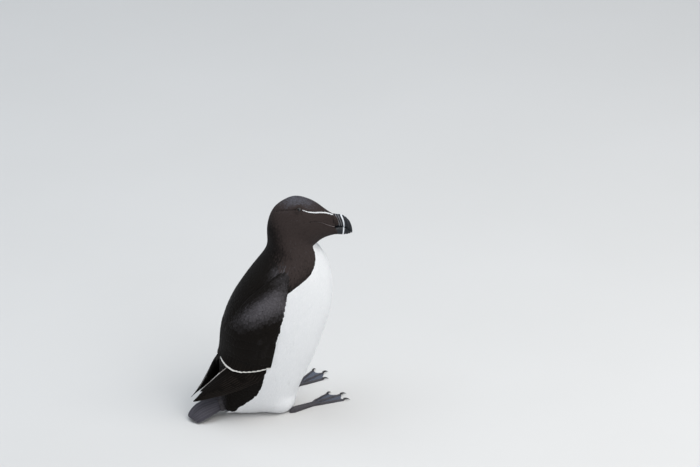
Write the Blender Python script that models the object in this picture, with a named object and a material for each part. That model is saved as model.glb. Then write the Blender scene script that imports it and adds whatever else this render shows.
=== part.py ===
"""A razorbill (Alca torda) in breeding plumage, life size, standing upright on its shanks.

The bird faces +X, +Z is up and the floor is z = 0.  Lengths are in millimetres and are
turned into metres where each mesh is made.  The head, neck, trunk and rump are one lofted
form, parted by thin cuts; the wings are shells that lie on it.
"""

import math

import bmesh
import bpy
import numpy as np
from mathutils import Vector

MM = 0.001
GAP = 0.3                    # clearance between neighbouring solids
FLOOR = 0.0                  # the level that belly, shanks, toes and tail rest on

# Each row is one section of the body, from the bill to the root of the tail:
# upper point (x, z), lower point (x, z), half width, and how much fuller it is below.
BODY = (
    (80.2, 230.6, 81.0, 206.2, 7.5, 0.05),       # 0 base of the bill
    (71.3, 237.2, 72.2, 205.0, 11.4, 0.08),      # 1 lores
    (60.2, 246.9, 65.2, 202.6, 15.6, 0.12),      # 2 forehead
    (47.5, 253.6, 60.8, 199.8, 18.8, 0.15),      # 3 eyes
    (35.0, 255.4, 58.4, 197.6, 20.4, 0.15),      # 4 crown
    (21.2, 249.6, 57.8, 196.0, 21.2, 0.13),      # 5 back of the crown
    (10.8, 239.2, 58.8, 194.2, 22.0, 0.10),      # 6 top of the nape
    (4.6, 221.0, 61.8, 190.6, 24.2, 0.06),       # 7 nape
    (3.6, 204.0, 65.8, 184.6, 27.8, 0.02),       # 8 neck
    (-1.0, 191.5, 69.4, 175.0, 32.4, 0.00),      # 9 base of the neck
    (-13.5, 177.3, 72.4, 160.5, 37.8, 0.00),     # 10 mantle
    (-32.0, 156.0, 73.0, 140.5, 42.0, 0.02),     # 11 shoulders
    (-45.2, 135.0, 69.0, 117.0, 44.5, 0.03),     # 12 breast
    (-53.0, 117.0, 59.8, 92.0, 45.0, 0.04),      # 13 belly
    (-57.8, 98.5, 48.6, 66.5, 43.5, 0.05),       # 14 loin
    (-60.8, 79.5, 35.4, 41.2, 40.5, 0.06),       # 15 flank
    (-62.3, 64.0, 24.5, 20.0, 36.5, 0.06),       # 16 thigh
    (-63.0, 51.0, 14.0, 0.2, 31.5, 0.04),        # 17 lower belly
    (-63.0, 39.0, -8.0, -2.6, 26.0, 0.00),       # 18 vent
    (-63.2, 28.5, -35.0, -1.0, 19.5, 0.00),      # 19 under the tail
    (-64.0, 19.0, -55.5, 3.5, 13.0, 0.00),       # 20 root of the tail
)
NECK_CUT = 7.5               # where the head ends, in section numbers
TRUNK_CUT = 9.5              # where the trunk begins
RUMP_CUT = 18.5              # where the trunk ends

HEAD_TURN = math.radians(-12.0)  # the head looks a little to the bird's right
NECK_AXIS_X = 33.0               # upright line that the head turns about
TURN_FROM, TURN_TO = 9.5, 6.0    # sections between which the turn grows

# The folded wings lie on a cloak: the body as far as the flank, then free past the rump.
CLOAK_FIRST = 9
CLOAK_TAIL = (
    (-67.5, 66.0, 10.0, 39.0, 38.5, 0.0),
    (-74.0, 53.5, -17.0, 37.0, 34.0, 0.0),
    (-81.5, 42.0, -39.0, 33.0, 26.0, 0.0),
    (-89.5, 33.0, -63.0, 29.0, 16.0, 0.0),
    (-98.5, 24.5, -93.5, 21.5, 7.5, 0.0),
)
WING_ROOT = 9.7              # section where the wing starts at the shoulder
WING_END = 15.2              # section of the secondaries' tips
WING_END_BOW = 0.36          # how far their tips bow back between the wing's edges
WING_END_RISE = 0.4          # how much sooner they end on the flank
WING_SPINE_EDGE = 5.0        # angles of the wing's two long edges, in degrees
WING_FLANK_EDGE = 84.5
WING_THICK = 4.2             # the folded arm and its coverts
WING_EDGE = 1.1              # thickness left at the edges
TIP_END = 20.0               # section of the longest primary's tip
TIP_THICK = 1.8              # the stack of folded primaries

# The bill: upper point (x, z), lower point (x, z) and half width of each section.
UPPER_BILL = (
    (80.7, 230.4, 81.0, 216.6, 6.6, 0.0),
    (85.0, 230.0, 85.0, 216.2, 5.7, 0.0),
    (89.5, 229.0, 88.8, 215.6, 4.9, 0.0),
    (93.8, 225.8, 92.2, 214.2, 4.2, 0.0),
    (97.4, 220.8, 95.2, 211.8, 3.4, 0.0),
    (99.4, 214.4, 97.4, 208.8, 2.3, 0.0),
    (100.0, 208.0, 99.0, 206.0, 0.9, 0.0),
)
LOWER_BILL = (
    (81.4, 216.1, 81.7, 206.6, 6.2, 0.0),
    (85.2, 215.7, 85.5, 205.7, 5.2, 0.0),
    (88.9, 215.0, 89.4, 205.2, 4.3, 0.0),
    (92.1, 213.5, 92.8, 205.2, 3.4, 0.0),
    (94.8, 211.2, 95.4, 205.6, 2.3, 0.0),
    (96.6, 208.3, 96.9, 206.2, 0.9, 0.0),
)

TAIL = (
    (-66.2, 21.9, -56.9, 3.3, 11.8, 0.0),
    (-71.0, 21.8, -67.0, 4.6, 15.5, 0.0),
    (-80.0, 20.6, -78.5, 4.4, 19.0, 0.0),
    (-90.0, 16.8, -89.5, 2.4, 20.0, 0.0),
    (-98.5, 10.2, -98.5, 0.4, 16.5, 0.0),
    (-104.0, 3.2, -104.0, -0.6, 6.0, 0.0),
)

EYE_PLACE = Vector((42.0, 13.2, 243.4))
EYE_RADIUS = 3.9
EYE_SINK = 2.6               # how far the eyeball's centre lies inside the head's side

FOOT_LENGTH = 69.0           # heel to the end of the middle toe, without its claw
FOOT_HEEL = {"right": Vector((9.0, -25.0, 0.0)), "left": Vector((8.0, 25.0, 0.0))}
FOOT_TURN = {"right": math.radians(19.0), "left": math.radians(29.0)}
TOE_FAN = math.radians(17.0)     # angle between neighbouring toes
TOE_ROOT = 30.0                  # length of the shank, where the toes spread
SHANK_HALF = 3.6                 # half width of the shank
SHANK_TALL = 7.0
TOE_TALL = 3.4
WEB_TALL = 1.3
WEB_SCALLOP = 0.08           # how far the web's edge falls back between the toes
TOES = {"outer": (-1.0, 0.94), "middle": (0.0, 1.0), "inner": (1.0, 0.84)}
CLAW_LENGTH = 8.0
CLAW_THICK = 1.5

THIGH_CENTRE = Vector((0.0, 23.0, 10.0))
THIGH_SIZE = Vector((17.0, 9.5, 13.0))


def clear_scene():
    """Remove every object, so the file can be run again."""
    for item in list(bpy.data.objects):
        bpy.data.objects.remove(item, do_unlink=True)


def material(name, colour, roughness, metallic=0.0):
    """A Principled material of one colour."""
    made = bpy.data.materials.new(name)
    made.use_nodes = True
    shader = made.node_tree.nodes["Principled BSDF"]
    shader.inputs["Base Color"].default_value = (*colour, 1.0)
    shader.inputs["Roughness"].default_value = roughness
    shader.inputs["Metallic"].default_value = metallic
    return made


def spline(values, at):
    """Natural cubic spline through rows of values at 0, 1, 2 ..., read at the places given."""
    values = np.asarray(values, float)
    count = len(values)
    matrix = 4.0 * np.eye(count) + np.eye(count, k=1) + np.eye(count, k=-1)
    matrix[0, :2] = (1.0, 0.0)
    matrix[-1, -2:] = (0.0, 1.0)
    right = np.zeros_like(values)
    right[1:-1] = 6.0 * (values[2:] - 2.0 * values[1:-1] + values[:-2])
    bend = np.linalg.solve(matrix, right)
    at = np.asarray(at, float)
    low = np.clip(np.floor(at).astype(int), 0, count - 2)
    part = (at - low)[..., None]
    rest = 1.0 - part
    straight = rest * values[low] + part * values[low + 1]
    curved = ((rest**3 - rest) * bend[low] + (part**3 - part) * bend[low + 1]) / 6.0
    return straight + curved


def ease(x):
    """Smooth step from 0 to 1."""
    x = np.clip(x, 0.0, 1.0)
    return x * x * (3.0 - 2.0 * x)


def loft_point(rows, place, angle):
    """Points of a loft: middle + cos(angle) * half depth + sin(angle) * half width.

    angle runs from 0 on the upper line round the -Y side to pi on the lower line.  What would
    lie below the floor slides up its own section to the floor, so every section stays flat.
    """
    row = spline(rows, place)
    upper = np.stack([row[..., 0], 0.0 * row[..., 0], row[..., 1]], axis=-1)
    lower = np.stack([row[..., 2], 0.0 * row[..., 0], row[..., 3]], axis=-1)
    up = np.cos(angle)
    out = -np.sin(angle) * row[..., 4] * (1.0 - row[..., 5] * up)
    depth = upper - lower
    point = 0.5 * (upper + lower) + 0.5 * depth * up[..., None]
    point[..., 1] += out
    below = np.maximum(FLOOR - point[..., 2], 0.0)
    rise = np.maximum(depth[..., 2], 1.0)
    return point + depth * (below / rise)[..., None]


def turn_about_neck(point, amount):
    """Turn points about the neck's upright axis by amount times the head's turn."""
    angle = HEAD_TURN * amount
    x = point[..., 0] - NECK_AXIS_X
    y = point[..., 1]
    turned = point.copy()
    turned[..., 0] = NECK_AXIS_X + np.cos(angle) * x - np.sin(angle) * y
    turned[..., 1] = np.sin(angle) * x + np.cos(angle) * y
    return turned


def body_point(place, angle):
    """The whole body's form, with the head turned."""
    point = loft_point(BODY, place, angle)
    return turn_about_neck(point, ease((TURN_FROM - place) / (TURN_FROM - TURN_TO)))


def cloak_point(place, angle):
    """The form that the wings lie on; section numbers go on past the flank."""
    rows = BODY[CLOAK_FIRST:16] + CLOAK_TAIL
    return loft_point(rows, place - CLOAK_FIRST, angle)


def surface_normal(shape, place, angle):
    """Outward unit normals of a form, from small steps along both of its directions."""
    step = 1e-3
    along = shape(place + step, angle) - shape(place - step, angle)
    around = shape(place, angle + step) - shape(place, angle - step)
    normal = np.cross(along, around)
    return normal / np.linalg.norm(normal, axis=-1, keepdims=True)


def make_object(name, points, faces, finish, parts):
    """A shaded object from points in millimetres and a list of faces."""
    mesh = bpy.data.meshes.new(name)
    mesh.from_pydata([tuple(p) for p in np.asarray(points) * MM], [], faces)
    work = bmesh.new()
    work.from_mesh(mesh)
    bmesh.ops.remove_doubles(work, verts=work.verts, dist=1e-6)
    bmesh.ops.dissolve_degenerate(work, edges=work.edges, dist=1e-6)
    bmesh.ops.recalc_face_normals(work, faces=work.faces)
    if work.calc_volume(signed=True) < 0.0:
        bmesh.ops.reverse_faces(work, faces=work.faces)
    work.to_mesh(mesh)
    work.free()
    mesh.shade_smooth()
    mesh.set_sharp_from_angle(angle=math.radians(40))
    mesh.materials.append(finish)
    made = bpy.data.objects.new(name, mesh)
    parts.objects.link(made)
    return made


def tube_faces(rings, around):
    """Quads between rings of points, and one face over each end."""
    faces = []
    for ring in range(rings - 1):
        for step in range(around):
            a = ring * around + step
            b = ring * around + (step + 1) % around
            faces.append((a, b, b + around, a + around))
    faces.append(tuple(range(around - 1, -1, -1)))
    faces.append(tuple(range((rings - 1) * around, rings * around)))
    return faces


def body_piece(name, first, last, rings, around, finish, parts):
    """One length of the body between two cuts, each set back by half the gap."""
    place = np.linspace(first, last, rings)[:, None] + np.zeros((1, around))
    angle = np.linspace(0.0, 2.0 * math.pi, around, endpoint=False)[None, :] + 0.0 * place
    points = body_point(place, angle)
    for ring, side in ((0, 1.0), (-1, -1.0)):
        upper, lower = points[ring, 0], points[ring, around // 2]
        beside = points[ring, around // 4]
        axis = np.cross(upper - lower, beside - lower)
        axis /= np.linalg.norm(axis)
        inward = points[ring + int(side)].mean(axis=0) - points[ring].mean(axis=0)
        axis *= math.copysign(1.0, float(axis @ inward))
        points[ring] += axis * GAP / 2.0
        below = np.maximum(FLOOR - points[ring, :, 2], 0.0)
        points[ring] += (upper - lower) * (below / max(upper[2] - lower[2], 1.0))[:, None]
    return make_object(name, points.reshape(-1, 3), tube_faces(rings, around), finish, parts)


def lofted(name, rows, rings, around, finish, parts, change=None):
    """A closed loft of its own through all its rows."""
    place = np.linspace(0.0, len(rows) - 1.0, rings)[:, None] + np.zeros((1, around))
    angle = np.linspace(0.0, 2.0 * math.pi, around, endpoint=False)[None, :] + 0.0 * place
    points = loft_point(rows, place, angle)
    if change:
        points = change(points)
    return make_object(name, points.reshape(-1, 3), tube_faces(rings, around), finish, parts)


def shell_faces(rows, columns):
    """Quads of a closed slab: an outer grid, an inner grid and the strip round the edge."""
    faces = []
    inner = rows * columns
    for i in range(rows - 1):
        for j in range(columns - 1):
            a = i * columns + j
            quad = (a, a + 1, a + columns + 1, a + columns)
            faces.append(quad)
            faces.append(tuple(inner + k for k in reversed(quad)))
    rim = [j for j in range(columns)]
    rim += [i * columns + columns - 1 for i in range(1, rows)]
    rim += [(rows - 1) * columns + j for j in range(columns - 2, -1, -1)]
    rim += [i * columns for i in range(rows - 2, 0, -1)]
    for k, a in enumerate(rim):
        b = rim[(k + 1) % len(rim)]
        faces.append((b, a, inner + a, inner + b))
    return faces


def mirrored(points, side):
    """The right-hand shape as it is, or its mirror image for the left."""
    if side == "right":
        return points
    return points * np.array([1.0, -1.0, 1.0])


def wing_end(v):
    """The section where the secondaries end, across the wing from the spine to the flank."""
    v = np.clip(v, 0.0, 1.0)
    return WING_END + WING_END_BOW * np.sin(math.pi * v) - WING_END_RISE * v**3


def wing(side, finish, parts):
    """The folded arm with its coverts and secondaries, a shell on the cloak.

    u runs from the shoulder (0) to the secondaries' tips (1), v from the edge beside the
    spine (0) to the edge on the flank (1).
    """
    rows, columns = 20, 12
    u = np.linspace(0.0, 1.0, rows)[:, None] + np.zeros((1, columns))
    v = np.linspace(0.0, 1.0, columns)[None, :] + 0.0 * u
    across = 2.0 * v - 1.0
    start = WING_ROOT + 0.9 * np.abs(across) ** 2.5 + 0.35 * (1.0 - v)
    place = start + (wing_end(v) - start) * u
    near_spine = np.radians(WING_SPINE_EDGE + 37.0 * np.exp(-3.2 * u))
    on_flank = np.radians(WING_FLANK_EDGE - 8.0 * np.exp(-5.0 * u))
    angle = near_spine + (on_flank - near_spine) * v
    base = cloak_point(place, angle)
    normal = surface_normal(cloak_point, place, angle)
    swell = (1.0 - np.abs(across) ** 3) * ease(u * 5.0) * (1.0 - 0.65 * ease((u - 0.45) / 0.55))
    lift = GAP + 0.3
    outer = base + normal * (lift + WING_EDGE + (WING_THICK - WING_EDGE) * swell)[..., None]
    inner = base + normal * lift
    points = np.concatenate([outer.reshape(-1, 3), inner.reshape(-1, 3)])
    points = mirrored(points, side)
    return make_object("wing_" + side, points, shell_faces(rows, columns), finish, parts)


def wing_tip(side, finish, parts):
    """The folded primaries, a thin blade from the secondaries' tips out over the tail."""
    rows, columns = 14, 7
    u = np.linspace(0.0, 1.0, rows)[:, None] + np.zeros((1, columns))
    v = np.linspace(0.0, 1.0, columns)[None, :] + 0.0 * u
    across = 2.0 * v - 1.0
    near_spine = np.radians(38.0 - 22.0 * u)
    on_flank = np.radians(WING_FLANK_EDGE - 8.0 * u**4)
    angle = near_spine + (on_flank - near_spine) * v
    on_wing = (np.degrees(angle) - WING_SPINE_EDGE) / (WING_FLANK_EDGE - WING_SPINE_EDGE)
    begin = wing_end(on_wing) + 0.06
    finish_at = TIP_END - 0.55 * np.abs(across - 0.1) ** 2
    place = begin + (finish_at - begin) * u
    base = cloak_point(place, angle)
    normal = surface_normal(cloak_point, place, angle)
    lift = GAP + 0.3
    thick = TIP_THICK * (1.0 - 0.45 * u) * (1.0 - 0.5 * np.abs(across) ** 3)
    outer = base + normal * (lift + thick)[..., None]
    inner = base + normal * lift
    points = np.concatenate([outer.reshape(-1, 3), inner.reshape(-1, 3)])
    points = mirrored(points, side)
    return make_object("wingtip_" + side, points, shell_faces(rows, columns), finish, parts)


def foot_frame(side):
    """Where a foot's own axes lie: its heel, its forward and its inner direction."""
    sign = -1.0 if side == "right" else 1.0
    turn = FOOT_TURN[side]
    forward = np.array([math.cos(turn), math.sin(turn), 0.0])
    inward = np.array([sign * math.sin(turn), -sign * math.cos(turn), 0.0])
    return np.array(FOOT_HEEL[side]), forward, inward


def foot(side, finish, parts):
    """The shank laid on the floor and three webbed toes: a raised top over a flat sole.

    u runs from the heel to the toes' ends and v from the outer toe (-1) to the inner (1).
    """
    rows, columns = 17, 13
    u = np.linspace(0.0, 1.0, rows)[:, None] + np.zeros((1, columns))
    v = np.linspace(-1.0, 1.0, columns)[None, :] + 0.0 * u
    toe_ends = [TOES[toe] for toe in ("outer", "middle", "inner")]
    reach = FOOT_LENGTH * np.interp(v, *zip(*toe_ends))
    scallop = 1.0 - WEB_SCALLOP * np.sin(math.pi * np.abs(v)) ** 2
    along = u * reach * scallop
    spread = np.maximum(along - TOE_ROOT, 0.0)
    root = np.minimum(1.0, np.sqrt(np.clip(along / 5.0, 0.05, 1.0)))
    half = SHANK_HALF * root + spread * math.tan(TOE_FAN)
    beside = v * half
    on_toe = np.exp(-(((np.abs(v) - np.round(np.abs(v))) * half / 2.6) ** 2))
    fan = ease(spread / 10.0)
    shank = SHANK_TALL * (1.0 - 0.45 * along / TOE_ROOT) * np.sqrt(1.0 - 0.92 * v**2)
    toes = WEB_TALL + (TOE_TALL - WEB_TALL) * on_toe * (1.0 - 0.35 * ease((u - 0.6) / 0.4))
    tall = (1.0 - fan) * np.maximum(shank, 1.6) + fan * toes
    tall *= 0.55 + 0.45 * ease(u * 9.0)
    heel, forward, inward = foot_frame(side)
    flat = heel + along[..., None] * forward + beside[..., None] * inward
    top = flat + np.stack([0.0 * tall, 0.0 * tall, tall], axis=-1)
    points = np.concatenate([top.reshape(-1, 3), flat.reshape(-1, 3)])
    return make_object("foot_" + side, points, shell_faces(rows, columns), finish, parts)


def claw(side, toe, finish, parts):
    """A curved claw in line with its toe, drawn down to the floor."""
    sideways, length = TOES[toe]
    heel, forward, inward = foot_frame(side)
    reach = FOOT_LENGTH * length
    half = (reach - TOE_ROOT) * math.tan(TOE_FAN) + SHANK_HALF
    root = heel + reach * forward + sideways * half * inward
    aim = (reach - TOE_ROOT) * forward + sideways * half * inward
    aim /= np.linalg.norm(aim)
    data = bpy.data.curves.new(f"claw_{side}_{toe}", "CURVE")
    data.dimensions = "3D"
    data.bevel_depth = CLAW_THICK * MM
    data.bevel_resolution = 1
    data.use_fill_caps = True
    line = data.splines.new("POLY")
    steps = 5
    line.points.add(steps - 1)
    for k in range(steps):
        t = k / (steps - 1)
        radius = 1.0 - 0.82 * t
        ahead = GAP + CLAW_THICK * 0.4 + CLAW_LENGTH * t
        tall = CLAW_THICK * radius * 1.02 + 1.1 * math.sin(math.pi * (0.28 + 0.72 * t))
        point = root + aim * ahead
        line.points[k].co = (point[0] * MM, point[1] * MM, tall * MM, 1.0)
        line.points[k].radius = radius
    data.materials.append(finish)
    made = bpy.data.objects.new(f"claw_{side}_{toe}", data)
    parts.objects.link(made)
    return made


def eye_centre(side):
    """An eyeball's centre, sunk in the side of the turned head."""
    sign = -1.0 if side == "right" else 1.0
    place = np.array([EYE_PLACE.x, sign * (EYE_PLACE.y - EYE_SINK), EYE_PLACE.z])
    return Vector(turn_about_neck(place, 1.0))


def ball(name, centre, radius, finish, collection):
    """A small sphere."""
    mesh = bpy.data.meshes.new(name)
    work = bmesh.new()
    bmesh.ops.create_uvsphere(work, u_segments=14, v_segments=8, radius=radius * MM)
    work.to_mesh(mesh)
    work.free()
    mesh.shade_smooth()
    if finish:
        mesh.materials.append(finish)
    made = bpy.data.objects.new(name, mesh)
    made.location = Vector(centre) * MM
    collection.objects.link(made)
    return made


def cut_with(target, cutter):
    """Cut one object's shape out of another."""
    cutter.hide_render = True
    cutter.display_type = "WIRE"
    cut = target.modifiers.new("cut " + cutter.name, "BOOLEAN")
    cut.operation = "DIFFERENCE"
    cut.solver = "EXACT"
    cut.object = cutter


def swollen_body(cutters):
    """The lower trunk grown by the gap, which trims the thighs."""
    rings, around = 16, 32
    place = np.linspace(RUMP_CUT - 5.0, RUMP_CUT, rings)[:, None] + np.zeros((1, around))
    angle = np.linspace(0.0, 2.0 * math.pi, around, endpoint=False)[None, :] + 0.0 * place
    points = body_point(place, angle) + surface_normal(body_point, place, angle) * (GAP + 0.15)
    made = make_object("cut_body", points.reshape(-1, 3), tube_faces(rings, around),
                       material("cutter", (0.5, 0.5, 0.5), 0.5), cutters)
    return made


def thigh(side, finish, parts, cutter):
    """The feathered thigh that fills the corner between the belly and the heel."""
    sign = -1.0 if side == "right" else 1.0
    centre = Vector((THIGH_CENTRE.x, sign * THIGH_CENTRE.y, THIGH_CENTRE.z))
    made = ball("thigh_" + side, centre, 1.0, finish, parts)
    for vertex in made.data.vertices:
        vertex.co = Vector(a * b for a, b in zip(vertex.co, THIGH_SIZE))
        vertex.co.z = max(vertex.co.z, (SHANK_TALL + 2.0 * GAP - centre.z) * MM)
    cut_with(made, cutter)
    return made


def build():
    """Make every part of the bird."""
    clear_scene()
    scene = bpy.context.scene.collection
    parts = bpy.data.collections.new("razorbill")
    cutters = bpy.data.collections.new("cutters")
    scene.children.link(parts)
    scene.children.link(cutters)

    black_down = material("black feathers", (0.018, 0.014, 0.013), 0.75)
    brown_down = material("brown-black feathers", (0.030, 0.020, 0.017), 0.8)
    white_down = material("white feathers", (0.80, 0.81, 0.82), 0.8)
    quill = material("flight feathers", (0.020, 0.016, 0.014), 0.55)
    slate = material("tail feathers", (0.055, 0.052, 0.060), 0.55)
    horn = material("bill horn", (0.010, 0.011, 0.014), 0.28)
    skin = material("webbed skin", (0.035, 0.038, 0.050), 0.5)
    nail = material("claw horn", (0.012, 0.012, 0.014), 0.35)
    iris = material("eye", (0.010, 0.007, 0.005), 0.08)

    head = body_piece("head", 0.0, NECK_CUT, 22, 28, brown_down, parts)
    body_piece("neck", NECK_CUT, TRUNK_CUT, 6, 32, brown_down, parts)
    body_piece("trunk", TRUNK_CUT, RUMP_CUT, 26, 32, white_down, parts)
    body_piece("rump", RUMP_CUT, 20.0, 5, 28, black_down, parts)

    lofted("bill_upper", UPPER_BILL, 13, 16, horn, parts, lambda p: turn_about_neck(p, 1.0))
    lofted("bill_lower", LOWER_BILL, 10, 12, horn, parts, lambda p: turn_about_neck(p, 1.0))
    lofted("tail", TAIL, 11, 20, slate, parts)

    trim = swollen_body(cutters)
    for side in ("left", "right"):
        ball("eye_" + side, eye_centre(side), EYE_RADIUS, iris, parts)
        socket = ball("cut_socket_" + side, eye_centre(side), EYE_RADIUS + GAP, None, cutters)
        cut_with(head, socket)
        wing(side, black_down, parts)
        wing_tip(side, quill, parts)
        thigh(side, white_down, parts, trim)
        foot(side, skin, parts)
        for toe in TOES:
            claw(side, toe, nail, parts)


build()
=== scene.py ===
"""The looks of a life-size razorbill in breeding plumage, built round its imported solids.

The bird faces +X, +Z is up and the floor is z = 0.  Shapes are worked out in millimetres
and turned into metres where each mesh is made.
"""

import math

import bpy
import numpy as np
from mathutils import Matrix, Vector


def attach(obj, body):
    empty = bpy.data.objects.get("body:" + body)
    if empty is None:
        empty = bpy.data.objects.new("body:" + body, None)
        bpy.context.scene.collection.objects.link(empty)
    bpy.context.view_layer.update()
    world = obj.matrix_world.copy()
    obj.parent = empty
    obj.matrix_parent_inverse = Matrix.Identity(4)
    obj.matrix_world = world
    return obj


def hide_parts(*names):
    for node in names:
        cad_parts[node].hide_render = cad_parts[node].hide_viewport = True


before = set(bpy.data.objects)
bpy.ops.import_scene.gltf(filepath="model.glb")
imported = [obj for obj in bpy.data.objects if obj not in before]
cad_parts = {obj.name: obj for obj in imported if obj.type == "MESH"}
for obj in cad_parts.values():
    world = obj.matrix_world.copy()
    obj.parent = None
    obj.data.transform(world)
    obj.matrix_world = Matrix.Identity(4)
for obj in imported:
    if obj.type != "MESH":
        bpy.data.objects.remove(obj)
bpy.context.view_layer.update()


# ------------------------------------------------------------------------------- the skin
# One unbroken skin over head, neck, trunk, rump, thighs and folded arms, lying inside the
# solids by the depth of the plumage.  It is pinched to the bill and to the tail's root.
MM = 0.001
TAU = 2.0 * math.pi
BODY = np.array((  # upper point x, z, lower point x, z, half width, fullness below
    (80.2, 230.6, 81.0, 206.2, 6.8, 0.05),
    (71.3, 237.2, 72.2, 205.0, 11.4, 0.08),
    (60.2, 246.9, 65.2, 202.6, 15.6, 0.12),
    (47.5, 253.6, 60.8, 199.8, 18.8, 0.15),
    (35.0, 255.4, 58.4, 197.6, 20.4, 0.15),
    (21.2, 249.6, 57.8, 196.0, 21.2, 0.13),
    (10.8, 239.2, 58.8, 194.2, 22.0, 0.10),
    (4.6, 221.0, 61.8, 190.6, 24.2, 0.06),
    (3.6, 204.0, 65.8, 184.6, 27.8, 0.02),
    (-1.0, 191.5, 69.4, 175.0, 32.4, 0.00),
    (-13.5, 177.3, 72.4, 160.5, 37.8, 0.00),
    (-32.0, 156.0, 73.0, 140.5, 42.0, 0.02),
    (-45.2, 135.0, 69.0, 117.0, 44.5, 0.03),
    (-53.0, 117.0, 59.8, 92.0, 45.0, 0.04),
    (-57.8, 98.5, 48.6, 66.5, 43.5, 0.05),
    (-60.8, 79.5, 35.4, 41.2, 40.5, 0.06),
    (-62.3, 64.0, 24.5, 20.0, 36.5, 0.06),
    (-63.0, 51.0, 14.0, 0.2, 31.5, 0.04),
    (-63.0, 39.0, -8.0, -2.6, 26.0, 0.00),
    (-63.2, 28.5, -35.0, -1.0, 19.5, 0.00),
    (-64.0, 19.0, -55.5, 3.5, 13.0, 0.00),
))
CLOAK_FIRST = 9                   # the cloak under the wings is the body from this section
CLOAK_LEAVES = 16                 # as far as this one, where it goes its own way
CLOAK = np.concatenate([BODY[CLOAK_FIRST:CLOAK_LEAVES], np.array((
    (-67.5, 66.0, 10.0, 39.0, 38.5, 0.0),
    (-74.0, 53.5, -17.0, 37.0, 34.0, 0.0),
    (-81.5, 42.0, -39.0, 33.0, 26.0, 0.0),
    (-89.5, 33.0, -63.0, 29.0, 16.0, 0.0),
    (-98.5, 24.5, -93.5, 21.5, 7.5, 0.0),
))])
LAST = 20.0                       # number of the body's last section
HEAD_TURN = math.radians(-12.0)   # the head looks a little to the bird's right
TURN_END, TURN_FADE = 9.5, 3.5    # section where the turn has died away, and over how many
NECK_AXIS_X = 33.0
HEAD_END = 6.2                    # section behind which there are no furrows
THIGH_CENTRE = (0.0, 23.0, 10.0)
THIGH_SIZE = (17.0, 9.5, 13.0)


def ease(x):
    """Smooth step from 0 to 1: 3 x squared less 2 x cubed."""
    x = np.clip(x, 0.0, 1.0)
    return x * x * (3.0 - 2.0 * x)


def spline(values, at):
    """Natural cubic spline through rows of values at 0, 1, 2 ..., read at the places given."""
    count = len(values)
    matrix = 4.0 * np.eye(count) + np.eye(count, k=1) + np.eye(count, k=-1)
    matrix[0, :2] = (1.0, 0.0)
    matrix[-1, -2:] = (0.0, 1.0)
    right = np.zeros_like(values)
    right[1:-1] = 6.0 * (values[2:] - 2.0 * values[1:-1] + values[:-2])
    bend = np.linalg.solve(matrix, right)
    low = np.clip(np.floor(at).astype(int), 0, count - 2)
    part = (at - low)[..., None]
    rest = 1.0 - part
    curved = ((rest**3 - rest) * bend[low] + (part**3 - part) * bend[low + 1]) / 6.0
    return rest * values[low] + part * values[low + 1] + curved


def loft(rows, place, angle):
    """A loft: each section's middle + cos(angle) * half depth + sin(angle) * half width.

    The angle runs from 0 on the upper line round the right side to pi on the lower line.
    What would lie below the floor slides up its own section.
    """
    row = spline(rows, place)
    none = 0.0 * row[..., 0]
    upper = np.stack([row[..., 0], none, row[..., 1]], axis=-1)
    lower = np.stack([row[..., 2], none, row[..., 3]], axis=-1)
    up = np.cos(angle)
    depth = upper - lower
    point = 0.5 * (upper + lower) + 0.5 * depth * up[..., None]
    point[..., 1] -= np.sin(angle) * row[..., 4] * (1.0 - row[..., 5] * up)
    below = np.maximum(-point[..., 2], 0.0)
    return point + depth * (below / np.maximum(depth[..., 2], 1.0))[..., None]


def turned(point, share=1.0):
    """Points turned with the head about the neck's upright axis, by a share of its turn."""
    angle = HEAD_TURN * share
    x = point[..., 0] - NECK_AXIS_X
    y = point[..., 1]
    out = point.copy()
    out[..., 0] = NECK_AXIS_X + np.cos(angle) * x - np.sin(angle) * y
    out[..., 1] = np.sin(angle) * x + np.cos(angle) * y
    return out


def body(place, angle):
    """The outline of the plumage over the whole body, with the head turned."""
    return turned(loft(BODY, place, angle), ease((TURN_END - place) / TURN_FADE))


def cloak(place, angle):
    """The form that the folded wings lie on, out past the tail's root to the wing tips."""
    return loft(CLOAK, place - CLOAK_FIRST, angle)


def unit(vectors):
    """Vectors brought to length 1."""
    return vectors / np.maximum(np.linalg.norm(vectors, axis=-1, keepdims=True), 1e-9)


def normals_of(points, u, v):
    """Unit normals of a grid of points, the cross product of its two directions; and both."""
    along = np.gradient(points, u, axis=0)
    around = np.gradient(points, v, axis=1)
    return unit(np.cross(along, around)), along, around


def tabulate(shape, u, v):
    """A form worked out once on a grid, to be read between its points.

    Each cell holds the point, its normal and the millimetres that a unit of u and v span.
    """
    points = shape(*grid(u, v))
    normal, along, around = normals_of(points, u, v)
    spans = [np.linalg.norm(d, axis=-1, keepdims=True) for d in (along, around)]
    return {"u": u, "v": v, "cells": np.concatenate([points, normal, *spans], axis=-1)}


def read(sheet, u, v):
    """Point, normal and spans of a tabulated form, by bilinear interpolation."""
    axes = (sheet["u"], sheet["v"])
    spots = []
    for axis, at in zip(axes, (u, v)):
        x = (at - axis[0]) / (axis[1] - axis[0])
        low = np.clip(np.floor(x).astype(int), 0, len(axis) - 2)
        spots += [low, np.clip(x - low, -1.0, 2.0)[..., None]]
    i, s, j, t = spots
    cells, wide = sheet["cells"].reshape(-1, 8), len(axes[1])
    k = i * wide + j
    near = cells[k] * (1.0 - t) + cells[k + 1] * t
    far = cells[k + wide] * (1.0 - t) + cells[k + wide + 1] * t
    found = near * (1.0 - s) + far * s
    return found[..., :3], found[..., 3:6], found[..., 6], found[..., 7]


def folded(angle):
    """Degrees from the upper line, the same on both sides."""
    return np.degrees(np.abs((angle + math.pi) % TAU - math.pi))


def grid(u, v):
    """Two arrays that give u and v at each crossing of a grid."""
    return np.meshgrid(u, v, indexing="ij")


def round_grid(u, around):
    """A grid of u with so many even angles round a full turn."""
    return grid(u, np.linspace(0.0, TAU, around, endpoint=False))


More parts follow.
